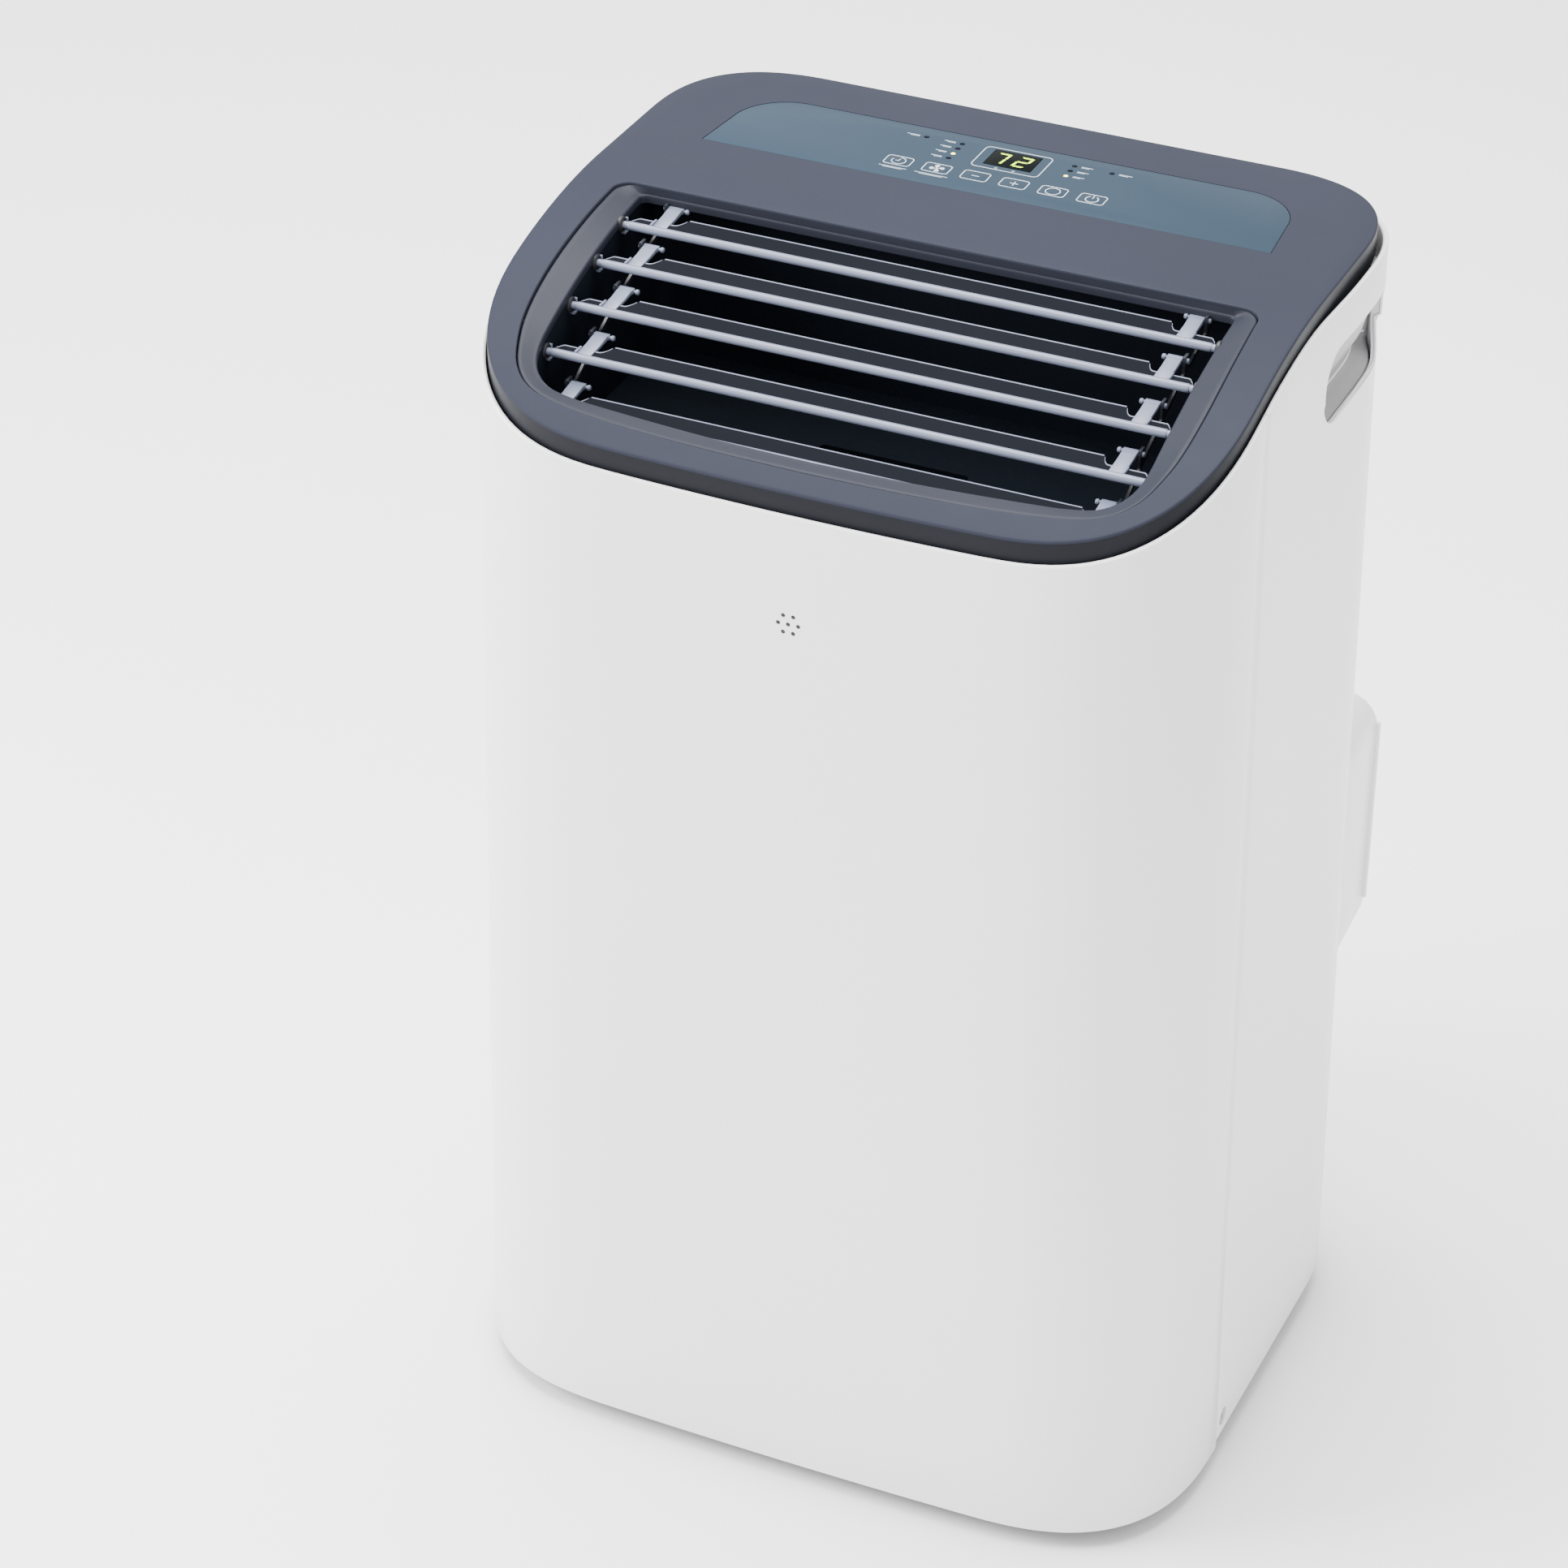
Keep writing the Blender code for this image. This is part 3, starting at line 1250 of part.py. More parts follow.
BOARD_TOP = CASE_HEIGHT - COVER_WALL - 3.6
CORD_X, CORD_Z = 138.0, 60.0
DRAIN_LOW_Z = 30.0
DRAIN_HIGH_X, DRAIN_HIGH_Z = 136.0, 366.0
ACCUMULATOR_RADIUS = 21.0
ACCUMULATOR_X, ACCUMULATOR_Y = 108.0, 62.0
SCREW_SEAT = CASE_WIDTH / 2 - PAN_INSET
NECK_X = (
    (UPPER_WHEEL_RADIUS + WHEEL_CLEARANCE) * math.cos(math.radians(66)),
    (UPPER_WHEEL_RADIUS + WHEEL_CLEARANCE) * (1 + SCROLL_GROWTH),
)


def clear_scene():
    for thing in list(bpy.data.objects):
        bpy.data.objects.remove(thing)


clear_scene()
PLAN_CENTRE = bpy.data.objects.new("plan_centre", None)
bpy.context.scene.collection.objects.link(PLAN_CENTRE)
FRONT_REACH = CASE_DEPTH / 2 + FRONT_BOW
PLAN_CENTRE.location = (0.0, (FRONT_REACH - COLLAR_BACK) / 2 * MM, FLOOR_GAP * MM)

make_front_shell()
make_rear_shell()
make_top_cover()
make_outlet_frame()
make_key_panel()
make_louvres()
make_swing_motor()
make_grips()
make_intake("upper", *UPPER_GRILLE)
make_intake("lower", *LOWER_GRILLE)
make_hood()
make_small_fittings()
make_air_movers()
make_coil("evaporator", 116.0, DECK_Z + 24.0, 600.0)
make_coil("condenser", 118.0, 56.0, 194.0)
make_compressor()
make_inner_structure()
make_base_pan()
make_casters()
for item in bpy.data.objects:
    if item.type == "MESH":
        item.data.shade_smooth()
        item.data.set_sharp_from_angle(angle=math.radians(32))
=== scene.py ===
"""Dresses the portable air conditioner's parts with fine surfaces, moulded details and finishes.

Lengths in this file are millimetres in the unit's own axes: X to the right, Y to the back, and Z up from the
lower edge of the front shell. at() turns them into the frame's metres.
"""

import bmesh
import bpy
import math
from mathutils import Matrix, Vector


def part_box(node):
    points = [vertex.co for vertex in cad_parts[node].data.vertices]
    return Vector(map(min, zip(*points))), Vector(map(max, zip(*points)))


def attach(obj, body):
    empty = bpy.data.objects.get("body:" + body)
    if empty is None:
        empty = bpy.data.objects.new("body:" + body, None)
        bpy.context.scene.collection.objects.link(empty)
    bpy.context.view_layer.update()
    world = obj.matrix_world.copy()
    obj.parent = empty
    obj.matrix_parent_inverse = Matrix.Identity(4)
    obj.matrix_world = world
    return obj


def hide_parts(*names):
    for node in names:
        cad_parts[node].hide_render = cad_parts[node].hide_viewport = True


bl_info = {
    "name": "Portable Air Conditioner",
    "version": (1, 0, 0),
    "blender": (4, 5, 0),
    "location": "3D View > Sidebar > Air Conditioner",
    "description": "Builds the casing, louvred outlet, key panel, grilles and casters over the packed parts",
    "category": "Object",
}

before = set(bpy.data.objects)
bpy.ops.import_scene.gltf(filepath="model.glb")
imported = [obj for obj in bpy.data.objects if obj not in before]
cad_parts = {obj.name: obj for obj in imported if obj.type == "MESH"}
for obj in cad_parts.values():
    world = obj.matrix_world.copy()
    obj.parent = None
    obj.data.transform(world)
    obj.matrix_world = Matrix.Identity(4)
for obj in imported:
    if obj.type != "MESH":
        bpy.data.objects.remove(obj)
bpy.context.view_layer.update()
FLOOR_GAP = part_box("front_shell")[0].z * 1000
FRONT_REACH = 176.3
PLAN_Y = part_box("front_shell")[0].y * 1000 + FRONT_REACH
CASE_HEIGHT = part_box("top_cover")[1].z * 1000 - FLOOR_GAP

CASE_DEPTH = 341.4
FRONT_BOW = 5.6
FRONT_CORNER = (110.7, 2.74)
REAR_CORNER = (81.0, 2.6)
SEAM_Y = -61.6
SEAM_GAP = 0.4
WALL = 2.8
TOP_FLAT_FROM = 30.0
TOP_CURVE = 0.00146
RIM_DROP = 9.5
COVER_INSET = 3.5
OUTLET_CENTRE = (0.0, -76.0)
GRIP = (27.0, 139.0, 610.0, 655.0, 21.0)
SOUNDER_HEIGHT = 554.0
SCREW_PLACE = (-52.1, 16.7)
GRILLES = (("upper", 385.0, 600.0), ("lower", 44.0, 186.0))
GRILLE_HALF = 126.0
LEAD_INLET = (138.0, 60.0)
DRAINS = (("lower", 0.0, 30.0), ("upper", 136.0, 366.0))
COLLAR_HEIGHT = 279.5
HOOD_BACK = 200.0
DUCT_FLOOR = 578.0
DUCT_SKIN = 3.0
LOUVRES = range(1, 6)
LINK_X = 147.5
BLADE_END = 164.5
KEY_KINDS = ("timer", "fan", "down", "up", "mode", "power")
KEY_PITCH = 22.3
KEY_ROW = 87.0
WINDOW_MIDDLE = 112.9


# ---------------------------------------------------------------- sizes and colours


class CasingSizes(bpy.types.PropertyGroup):
    """Sizes of the casing's own details."""

    width: bpy.props.FloatProperty(
        name="Width",
        description="Casing width at the floor",
        default=0.44,
        unit="LENGTH",
        subtype="DISTANCE",
    )
    taper: bpy.props.FloatProperty(
        name="Taper",
        description="How far each side leans in by the top",
        default=0.0108,
        unit="LENGTH",
    )
    rim: bpy.props.FloatProperty(
        name="Rim",
        description="Thickness of the shells' rounded upper rim",
        default=0.003,
        unit="LENGTH",
    )
    bulge: bpy.props.FloatProperty(
        name="Shoulder",
        description="How far the rear shoulder stands proud",
        default=0.0027,
        unit="LENGTH",
    )
    grip_depth: bpy.props.FloatProperty(
        name="Grip depth",
        description="Depth of the hand grips",
        default=0.0135,
        unit="LENGTH",
    )
    bead: bpy.props.FloatProperty(
        name="Louvre bead",
        description="Radius of the bead along each louvre",
        default=0.0024,
        unit="LENGTH",
    )
    line: bpy.props.FloatProperty(
        name="Print line",
        description="Width of the printed lines on the keys",
        default=0.0005,
        unit="LENGTH",
    )


class FinishColours(bpy.types.PropertyGroup):
    """Colours of the finishes."""

    shell: bpy.props.FloatVectorProperty(
        name="Shell",
        description="White of the front and rear shells",
        default=(0.73, 0.73, 0.745),
        size=3,
        subtype="COLOR",
    )
    cover: bpy.props.FloatVectorProperty(
        name="Cover",
        description="Grey of the top cover",
        default=(0.0185, 0.0205, 0.0305),
        size=3,
        subtype="COLOR",
    )
    panel: bpy.props.FloatVectorProperty(
        name="Key panel",
        description="Slate blue of the key panel",
        default=(0.018, 0.031, 0.047),
        size=3,
        subtype="COLOR",
    )
    louvre: bpy.props.FloatVectorProperty(
        name="Louvre",
        description="Cool grey of the louvres",
        default=(0.13, 0.145, 0.2),
        size=3,
        subtype="COLOR",
    )
    # The duct colour is near black: dark plastic made darker still as painted shade inside the outlet.
    duct: bpy.props.FloatVectorProperty(
        name="Duct",
        description="Near black of the outlet's inside",
        default=(0.006, 0.008, 0.012),
        size=3,
        subtype="COLOR",
    )
    digits: bpy.props.FloatVectorProperty(
        name="Digits",
        description="Light of the display's digits",
        default=(0.55, 0.85, 0.0),
        size=3,
        subtype="COLOR",
    )
    lamp: bpy.props.FloatVectorProperty(
        name="Lamp",
        description="Light of a lit status lamp",
        default=(1.0, 0.9, 0.25),
        size=3,
        subtype="COLOR",
    )


def size(name):
    """One of the casing sizes, in millimetres."""
    return getattr(bpy.context.scene.casing_sizes, name) * 1000


def colour(name):
    return tuple(getattr(bpy.context.scene.finish_colours, name))


# ---------------------------------------------------------------- finishes


class Value:
    """A shader socket that takes part in Python sums."""

    def __init__(self, look, socket):
        self.look = look
        self.socket = socket

    def sum(self, operation, first, second):
        return self.look.node("ShaderNodeMath", {"operation": operation}, {0: first, 1: second})

    def __add__(self, other):
        return self.sum("ADD", self, other)

    __radd__ = __add__

    def __sub__(self, other):
        return self.sum("SUBTRACT", self, other)

    def __rsub__(self, other):
        return self.sum("SUBTRACT", other, self)

    def __mul__(self, other):
        return self.sum("MULTIPLY", self, other)

    __rmul__ = __mul__


class Look:
    """A finish under construction: its shader, and one way to add a node to it."""

    def __init__(self, name, base, roughness, metallic=0.0, coat=0.0, sheen=0.5):
        self.material = bpy.data.materials.new(name)
        self.material.use_nodes = True
        self.tree = self.material.node_tree
        self.shader = self.tree.nodes["Principled BSDF"]
        self.base = base
        self.roughness = roughness
        self.put("Base Color", (*base, 1.0))
        self.put("Roughness", roughness)
        self.put("Metallic", metallic)
        self.put("Coat Weight", coat)
        self.put("Coat Roughness", 0.12)
        self.put("Specular IOR Level", sheen)

    def put(self, socket, value):
        """Sets one of the shader's own sockets, or links a value to it."""
        if isinstance(value, Value):
            self.tree.links.new(value.socket, self.shader.inputs[socket])
        else:
            self.shader.inputs[socket].default_value = value

    def node(self, kind, settings=None, sockets=None, out=0):
        """Adds a node: its settings first, then the values or links of its sockets."""
        made = self.tree.nodes.new(kind)
        for name, value in (settings or {}).items():
            if name == "stops":
                ramp = made.color_ramp.elements
                while len(ramp) < len(value):
                    ramp.new(0.5)
                for element, (place, tint) in zip(ramp, value):
                    element.position = place
                    element.color = (*tint, 1.0)
            else:
                setattr(made, name, value)
        for key, value in (sockets or {}).items():
            if isinstance(value, Value):
                self.tree.links.new(value.socket, made.inputs[key])
            else:
                made.inputs[key].default_value = value
        return Value(self, made.outputs[out])

    def place(self):
        """The object's own coordinates."""
        return self.node("ShaderNodeTexCoord", out="Object")

    def axis(self, name):
        """One of the object's own coordinates."""
        return self.node("ShaderNodeSeparateXYZ", None, {0: self.place()}, name)

    def noise(self, scale, detail=2.0, rough=0.5, vector=None):
        sockets = {"Vector": vector or self.place(), "Scale": scale, "Detail": detail, "Roughness": rough}
        return self.node("ShaderNodeTexNoise", None, sockets, 0)

    def wave(self, axis, pitch):
        """A ripple along one axis that repeats at a pitch in metres."""
        return self.node("ShaderNodeMath", {"operation": "SINE"}, {0: self.axis(axis) * (math.tau / pitch)})

    def tint(self, mask, dark, light):
        """Two shades of the base colour mixed by a mask."""
        low = tuple(c * dark for c in self.base)
        high = tuple(min(1.0, c * light) for c in self.base)
        stops = ((0.3, low), (0.7, high))
        self.put("Base Color", self.node("ShaderNodeValToRGB", {"stops": stops}, {0: mask}))

    def vary(self, mask, amount):
        """Roughness that drifts with a mask."""
        self.put("Roughness", self.roughness + (mask - 0.5) * amount)

    def bump(self, height, strength, distance):
        """Relief from a height."""
        sockets = {"Height": height, "Strength": strength, "Distance": distance}
        self.put("Normal", self.node("ShaderNodeBump", None, sockets))

    def moulded(self, grain=1400.0, strength=0.06, shade=0.035, gloss=0.1):
        """Moulded plastic: a fine spark-eroded grain, with slow drifts of shade and gloss."""
        slow = self.noise(5.0, 3.0)
        fine = self.noise(grain, 2.0, 0.6)
        self.tint(slow, 1.0 - shade, 1.0 + shade)
        self.vary(self.noise(38.0, 3.0), gloss)
        self.bump(fine + slow * 0.2, strength, 0.0004)
        return self.material


def plastic(name, base, roughness, grain, depth, shade, gloss, **shine):
    """A moulded plastic, rubber or ink."""
    return Look(name, base, roughness, **shine).moulded(grain, depth, shade, gloss)


def shaded(base, share):
    """A colour made darker."""
    return tuple(c * share for c in base)


def casing_finishes():
    """The finishes of the shells, the cover, the panel and what is printed on it."""
    shell, cover = colour("shell"), colour("cover")
    return {
        "shell": plastic("shell_white", shell, 0.3, 1600.0, 0.035, 0.012, 0.08, coat=0.25),
        # A darker copy of the shell's white for the grip scoops: painted shade in the recesses.
        "grip": plastic("grip_white", shaded(shell, 0.42), 0.45, 1500.0, 0.12, 0.03, 0.1),
        "cover": plastic("cover_grey", cover, 0.5, 1500.0, 0.16, 0.05, 0.12, sheen=0.06),
        # A darker copy of the cover's finish for the cover's side band: painted shade on its sides.
        "band": plastic("band_grey", shaded(cover, 0.3), 0.4, 1500.0, 0.06, 0.08, 0.1, sheen=0.12),
        # A darker copy of the cover's finish for the outlet's surround: painted shade in its dish.
        "surround": plastic("surround_grey", shaded(cover, 0.8), 0.42, 1500.0, 0.1, 0.05, 0.1, sheen=0.12),
        "panel": plastic("panel_slate", colour("panel"), 0.4, 900.0, 0.012, 0.02, 0.06, sheen=0.08),
        "print": plastic("white_print", (0.42, 0.46, 0.5), 0.5, 2500.0, 0.03, 0.02, 0.05),
        "window": plastic(
            "display_black", (0.002, 0.003, 0.003), 0.35, 800.0, 0.008, 0.2, 0.03, sheen=0.02
        ),
        "lamp_off": plastic("lamp_dark", (0.002, 0.003, 0.006), 0.3, 900.0, 0.01, 0.2, 0.04, sheen=0.03),
    }


def outlet_finishes():
    """The finishes of the louvres, their links and the duct, and the black and rubber fittings."""
    louvre = colour("louvre")
    return {
        "louvre": plastic("louvre_grey", louvre, 0.32, 1300.0, 0.06, 0.06, 0.12),
        # A near-black copy of the louvre's finish for the blade behind the bead: painted shade, the blade
        # being the same plastic.
        "blade": plastic("blade_dark", shaded(louvre, 0.05), 0.5, 1300.0, 0.06, 0.1, 0.12, sheen=0.02),
        "link": plastic("link_grey", shaded(louvre, 0.1), 0.4, 1300.0, 0.06, 0.06, 0.12),
        # The duct's near-black finish is dark plastic with painted shade for the unlit inside of the outlet;
        # the scrolls, deck and tray share it.
        "duct": plastic("duct_black", colour("duct"), 0.5, 1100.0, 0.12, 0.2, 0.15, sheen=0.05),
        "black": plastic(
            "black_plastic", (0.012, 0.0125, 0.014), 0.45, 1200.0, 0.15, 0.2, 0.15, sheen=0.35
        ),
        "rubber": plastic("rubber", (0.011, 0.011, 0.012), 0.75, 700.0, 0.3, 0.25, 0.15, sheen=0.3),
    }


def glowing(name, tone, power):
    """A lit surface with a fine speckle in its colour and its light."""
    glow = Look(name, tone, 0.3)
    speck = glow.noise(900.0, 2.0)
    glow.tint(speck, 0.92, 1.05)
    bright = tuple(min(1.0, c * 1.05) for c in tone)
    stops = ((0.3, shaded(tone, 0.9)), (0.7, bright))
    glow.put("Emission Color", glow.node("ShaderNodeValToRGB", {"stops": stops}, {0: speck}))
    glow.put("Emission Strength", power)
    return glow.material


def brushed(name, base, roughness, metallic=1.0):
    """A drawn or painted metal with fine upright scratches."""
    metal = Look(name, base, roughness, metallic)
    stretched = {"Vector": metal.place(), "Scale": (60.0, 60.0, 900.0)}
    grain = metal.noise(6.0, 4.0, 0.6, metal.node("ShaderNodeMapping", None, stretched))
    metal.tint(metal.noise(30.0, 3.0), 0.85, 1.1)
    metal.vary(grain, 0.25)
    metal.bump(grain, 0.08, 0.0002)
    return metal.material


def finned():
    """Upright fins 1.8 mm apart, with painted shade in the gaps between them."""
    fins = Look("fins", (0.62, 0.64, 0.67), 0.42, metallic=1.0)
    comb = fins.wave("X", 0.0018)
    # The comb darkens the base colour between the fins: painted shade in the gaps.
    fins.tint(comb * 0.5 + 0.5, 0.25, 1.1)
    fins.vary(fins.noise(60.0), 0.2)
    fins.bump(comb, 0.8, 0.0006)
    return fins.material


def circuit_board():
    """Green board with lighter blocks between its tracks."""
    board = Look("board", (0.015, 0.12, 0.04), 0.4)
    bricks = {"Vector": board.place(), "Scale": 90.0, "Mortar Size": 0.06}
    tracks = board.node("ShaderNodeTexBrick", None, bricks, "Fac")
    stops = ((0.4, board.base), (0.6, (0.1, 0.3, 0.12)))
    board.put("Base Color", board.node("ShaderNodeValToRGB", {"stops": stops}, {0: tracks}))
    board.bump(tracks, 0.3, 0.0002)
    board.vary(board.noise(200.0), 0.2)
    return board.material


def filter_net():
    """A square net of 1.6 mm mesh."""
    net = Look("filter_net", (0.1, 0.105, 0.12), 0.8)
    threads = {0: net.wave("X", 0.0016), 1: net.wave("Z", 0.0016)}
    weave = net.node("ShaderNodeMath", {"operation": "MAXIMUM"}, threads)
    net.tint(weave * 0.5 + 0.5, 0.35, 1.5)
    net.bump(weave, 0.9, 0.0004)
    net.vary(net.noise(50.0), 0.1)
    return net.material


FINISHES = {}


def make_finishes():
    """Every finish, by name."""
    FINISHES.update(casing_finishes())
    FINISHES.update(outlet_finishes())
    FINISHES["digits"] = glowing("digits_light", colour("digits"), 1.25)
    FINISHES["lamp_on"] = glowing("lamp_on_light", colour("lamp"), 2.4)
    FINISHES["steel"] = brushed("steel", (0.52, 0.53, 0.55), 0.34)
    FINISHES["copper"] = brushed("copper", (0.72, 0.33, 0.18), 0.3)
    FINISHES["enamel"] = brushed("enamel", (0.02, 0.02, 0.022), 0.3, metallic=0.0)
    FINISHES["fins"] = finned()
    FINISHES["board"] = circuit_board()
    FINISHES["net"] = filter_net()


# ---------------------------------------------------------------- modelling helpers


def at(point):
    """A point of the unit, in the frame's metres."""
    return Vector((point[0], point[1] + PLAN_Y, point[2] + FLOOR_GAP)) * 0.001


def deselect():
    if bpy.context.object and bpy.context.object.mode != "OBJECT":
        bpy.ops.object.mode_set(mode="OBJECT")
    bpy.ops.object.select_all(action="DESELECT")


def only(piece):
    deselect()
    piece.select_set(True)
    bpy.context.view_layer.objects.active = piece
    return piece


def edit_all(piece, *steps):
    """Runs edit-mode steps on the whole mesh."""
    only(piece)
    bpy.ops.object.mode_set(mode="EDIT")
    bpy.ops.mesh.select_all(action="SELECT")
    for step in steps:
        step()
    bpy.ops.object.mode_set(mode="OBJECT")
    return piece


def weld_and_face_out():
    bpy.ops.mesh.remove_doubles(threshold=0.000002)
    bpy.ops.mesh.fill_holes(sides=0)
    bpy.ops.mesh.normals_make_consistent(inside=False)


def woven(name, rows, ring_u=False, ring_v=False):
    """A primitive grid laid over rows of points: ends that meet are welded, and open ends are filled."""
    if ring_u:
        rows = [row + [row[0]] for row in rows]
    if ring_v:
        rows = rows + [rows[0]]
    deselect()
    bpy.ops.mesh.primitive_grid_add(x_subdivisions=len(rows[0]) - 1, y_subdivisions=len(rows) - 1, size=1.0)
    piece = bpy.context.object
    piece.name = name
    flat = [value for row in rows for point in row for value in at(point)]
    piece.data.vertices.foreach_set("co", flat)
    piece.data.update()
    return edit_all(piece, weld_and_face_out)


def plate(name, outline, low, high, axis="z", bevel=0.0, segments=2):
    """A flat outline drawn out to a plate, its upper and lower edges rounded if asked."""
    place = {
        "z": lambda u, v, w: (u, v, w),
        "y": lambda u, v, w: (u, w, v),
        "x": lambda u, v, w: (w, u, v),
    }[axis]
    deselect()
    bpy.ops.mesh.primitive_circle_add(vertices=len(outline), fill_type="NGON")
    piece = bpy.context.object
    piece.name = name
    for vertex, (u, v) in zip(piece.data.vertices, outline):
        vertex.co = at(place(u, v, low))
    reach = Vector(place(0.0, 0.0, high - low)) * 0.001

    def draw_out():
        bpy.ops.mesh.extrude_region_move(TRANSFORM_OT_translate={"value": reach})
        bpy.ops.mesh.select_all(action="SELECT")
        bpy.ops.mesh.normals_make_consistent(inside=False)

    edit_all(piece, draw_out)
    if bevel:
        soften(piece, bevel, segments)
    return piece


def soften(piece, width, segments=2, angle=40.0):
    """Rounds a piece's edges with an applied bevel."""
    only(piece)
    bpy.ops.object.modifier_add(type="BEVEL")
    step = piece.modifiers[-1]
    step.width = width * 0.001
    step.segments = segments
    step.limit_method = "ANGLE"
    step.angle_limit = math.radians(angle)
    bpy.ops.object.modifier_apply(modifier=step.name)
    return piece


def block(name, low, high, bevel=0.4, segments=2):
    """A primitive cube at its size and place with its edges rounded in edit mode."""
    deselect()
    bpy.ops.mesh.primitive_cube_add(size=1.0)
    piece = bpy.context.object
    piece.name = name
    a, b = at(low), at(high)
    for vertex in piece.data.vertices:
        vertex.co = [a[k] if vertex.co[k] < 0 else b[k] for k in range(3)]

    def rounding():
        bpy.ops.mesh.normals_make_consistent(inside=False)
        if bevel:
            bpy.ops.mesh.bevel(offset=bevel * 0.001, segments=segments, affect="EDGES")

    return edit_all(piece, rounding)


def turned(name, profile, centre, axis="z", steps=48, ring=False):
    """A profile of (radius, height) pairs turned about an axis through centre."""
    rows = []
    for radius, height in profile:
        row = []
        for k in range(steps):
            u = radius * math.cos(math.tau * k / steps)
            v = radius * math.sin(math.tau * k / steps)
            offset = {"z": (u, v, height), "y": (u, height, v), "x": (height, u, v)}[axis]
            row.append(tuple(c + o for c, o in zip(centre, offset)))
        rows.append(row)
    return woven(name, rows, ring_u=True, ring_v=ring)


def bar(name, path, radius, steps=10):
    """A round bar along a path of points."""
    points = [Vector(p) for p in path]
    rows, side = [], None
    for i, point in enumerate(points):
        ahead = (points[min(i + 1, len(points) - 1)] - points[max(i - 1, 0)]).normalized()
        side = side or ahead.orthogonal().normalized()
        side = (side - ahead * side.dot(ahead)).normalized()
        up = ahead.cross(side)
        turns = [math.tau * k / steps for k in range(steps)]
        rows.append(
            [tuple(point + side * (radius * math.cos(t)) + up * (radius * math.sin(t))) for t in turns]
        )
    return woven(name, rows, ring_u=True)


def carve(piece, cutter, operation="DIFFERENCE"):
    """Cuts a piece with another, or joins them, and drops the cutter."""
    only(piece)
    bpy.ops.object.modifier_add(type="BOOLEAN")
    step = piece.modifiers[-1]
    step.operation = operation
    step.object = cutter
    step.solver = "EXACT"
    bpy.ops.object.modifier_apply(modifier=step.name)
    bpy.data.objects.remove(cutter)
    return piece


def gather(name, pieces):
    """Several closed pieces made one object."""
    only(pieces[0])
    for piece in pieces[1:]:
        piece.select_set(True)
    if len(pieces) > 1:
        bpy.ops.object.join()
    pieces[0].name = name
    return pieces[0]


def settle(piece, finish, body, stands_for=(), angle=32.0):
    """Smooths a finished piece, gives it its finish and puts it on its body in place of its CAD nodes."""
    only(piece)
    bpy.ops.object.shade_smooth_by_angle(angle=math.radians(angle))
    if finish:
        piece.data.materials.clear()
        piece.data.materials.append(FINISHES[finish])
    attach(piece, body)
    if stands_for:
        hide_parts(*stands_for)
    return piece


def copy_piece(piece, name, shift):
    """A copy with its own mesh, moved by whole-mesh translation."""
    twin = piece.copy()
    twin.data = piece.data.copy()
    twin.name = name
    twin.parent = None
    bpy.context.scene.collection.objects.link(twin)
    twin.data.transform(Matrix.Translation(Vector(shift) * 0.001))
    return twin


def ring_points(x, y, radius, start=0.0, sweep=math.tau, steps=28):
    """Points round a circle, or along an arc with both of its ends."""
    last = steps if sweep >= math.tau - 1e-6 else steps + 1
    angles = [start + sweep * k / steps for k in range(last)]
    return [(x + radius * math.cos(a), y + radius * math.sin(a)) for a in angles]


def rounded(x0, x1, y0, y1, radius, steps=6):
    """A rectangle's outline with round corners."""
    points = []
    centres = ((x1, y1), (x0, y1), (x0, y0), (x1, y0))
    for quarter, (cx, cy) in enumerate(centres):
        cx += radius if quarter in (1, 2) else -radius
        cy += radius if quarter in (2, 3) else -radius
        for k in range(steps + 1):
            angle = (quarter + k / steps) * math.pi / 2
            points.append((cx + radius * math.cos(angle), cy + radius * math.sin(angle)))
    return points


# ---------------------------------------------------------------- casing outline


def half_width(z):
    """Half the casing's width at a height: the sides lean in."""
    return size("width") / 2 - size("taper") * z / CASE_HEIGHT


def top_z(y):
    """The top's height at a depth: flat at the back and curving down to the front."""
    return CASE_HEIGHT - TOP_CURVE * max(0.0, TOP_FLAT_FROM - y) ** 2


def rim_z(y):
    return top_z(y) - RIM_DROP


def corner(width, inset, shape, rear, steps=26):
    """A corner of the plan as a quarter of a superellipse, from the side to the front or back."""
    radius, power = shape
    points = []
    for k in range(steps + 1):
        angle = math.pi / 2 * k / steps
        x = width - radius + (radius - inset) * max(0.0, math.cos(angle)) ** (2 / power)
        y = CASE_DEPTH / 2 - radius + (radius - inset) * max(0.0, math.sin(angle)) ** (2 / power)
        points.append((x, y if rear else -y))
    return points


def bowed(point, width):
    """A point of the plan, moved forward where the front bows out."""
    x, y = point
    share = min(1.0, max(0.0, -2 * y / CASE_DEPTH))
    return (x, y - FRONT_BOW * (1 - (x / width) ** 2) * share)


def front_run(z, inset):
    """The front shell's outline from the right seam round the front to the left seam."""
    width = half_width(z)
    arc = corner(width, inset, FRONT_CORNER, False)
    half = [(width - inset, SEAM_Y), (width - inset, SEAM_Y - 0.5)] + arc[1:]
    edge, front = half[-1]
    flat = [(edge * (1 - 2 * k / 14), front) for k in range(1, 14)]
    run = half + flat + [(-x, y) for x, y in reversed(half)]
    return [bowed(p, width) for p in run]


def rear_run(z, inset):
    """The rear shell's outline from the right seam round the back to the left seam."""
    width = half_width(z)
    seam = SEAM_Y + SEAM_GAP
    straight = CASE_DEPTH / 2 - REAR_CORNER[0]
    half = [(width - inset, seam), (width - inset, seam + 0.5)]
    half += [(width - inset, seam + (straight - seam) * k / 30) for k in range(1, 30)]
    half += corner(width, inset, REAR_CORNER, True)
    edge, back = half[-1]
    flat = [(edge * (1 - 2 * k / 10), back) for k in range(1, 10)]
    return half + flat + [(-x, y) for x, y in reversed(half)]


def bulge(y):
    """How far the shoulder stands proud at a depth: nothing at the seam, all of it toward the back."""
    share = min(1.0, max(0.0, y / 80.0))
    return size("bulge") * share * share * (3 - 2 * share)


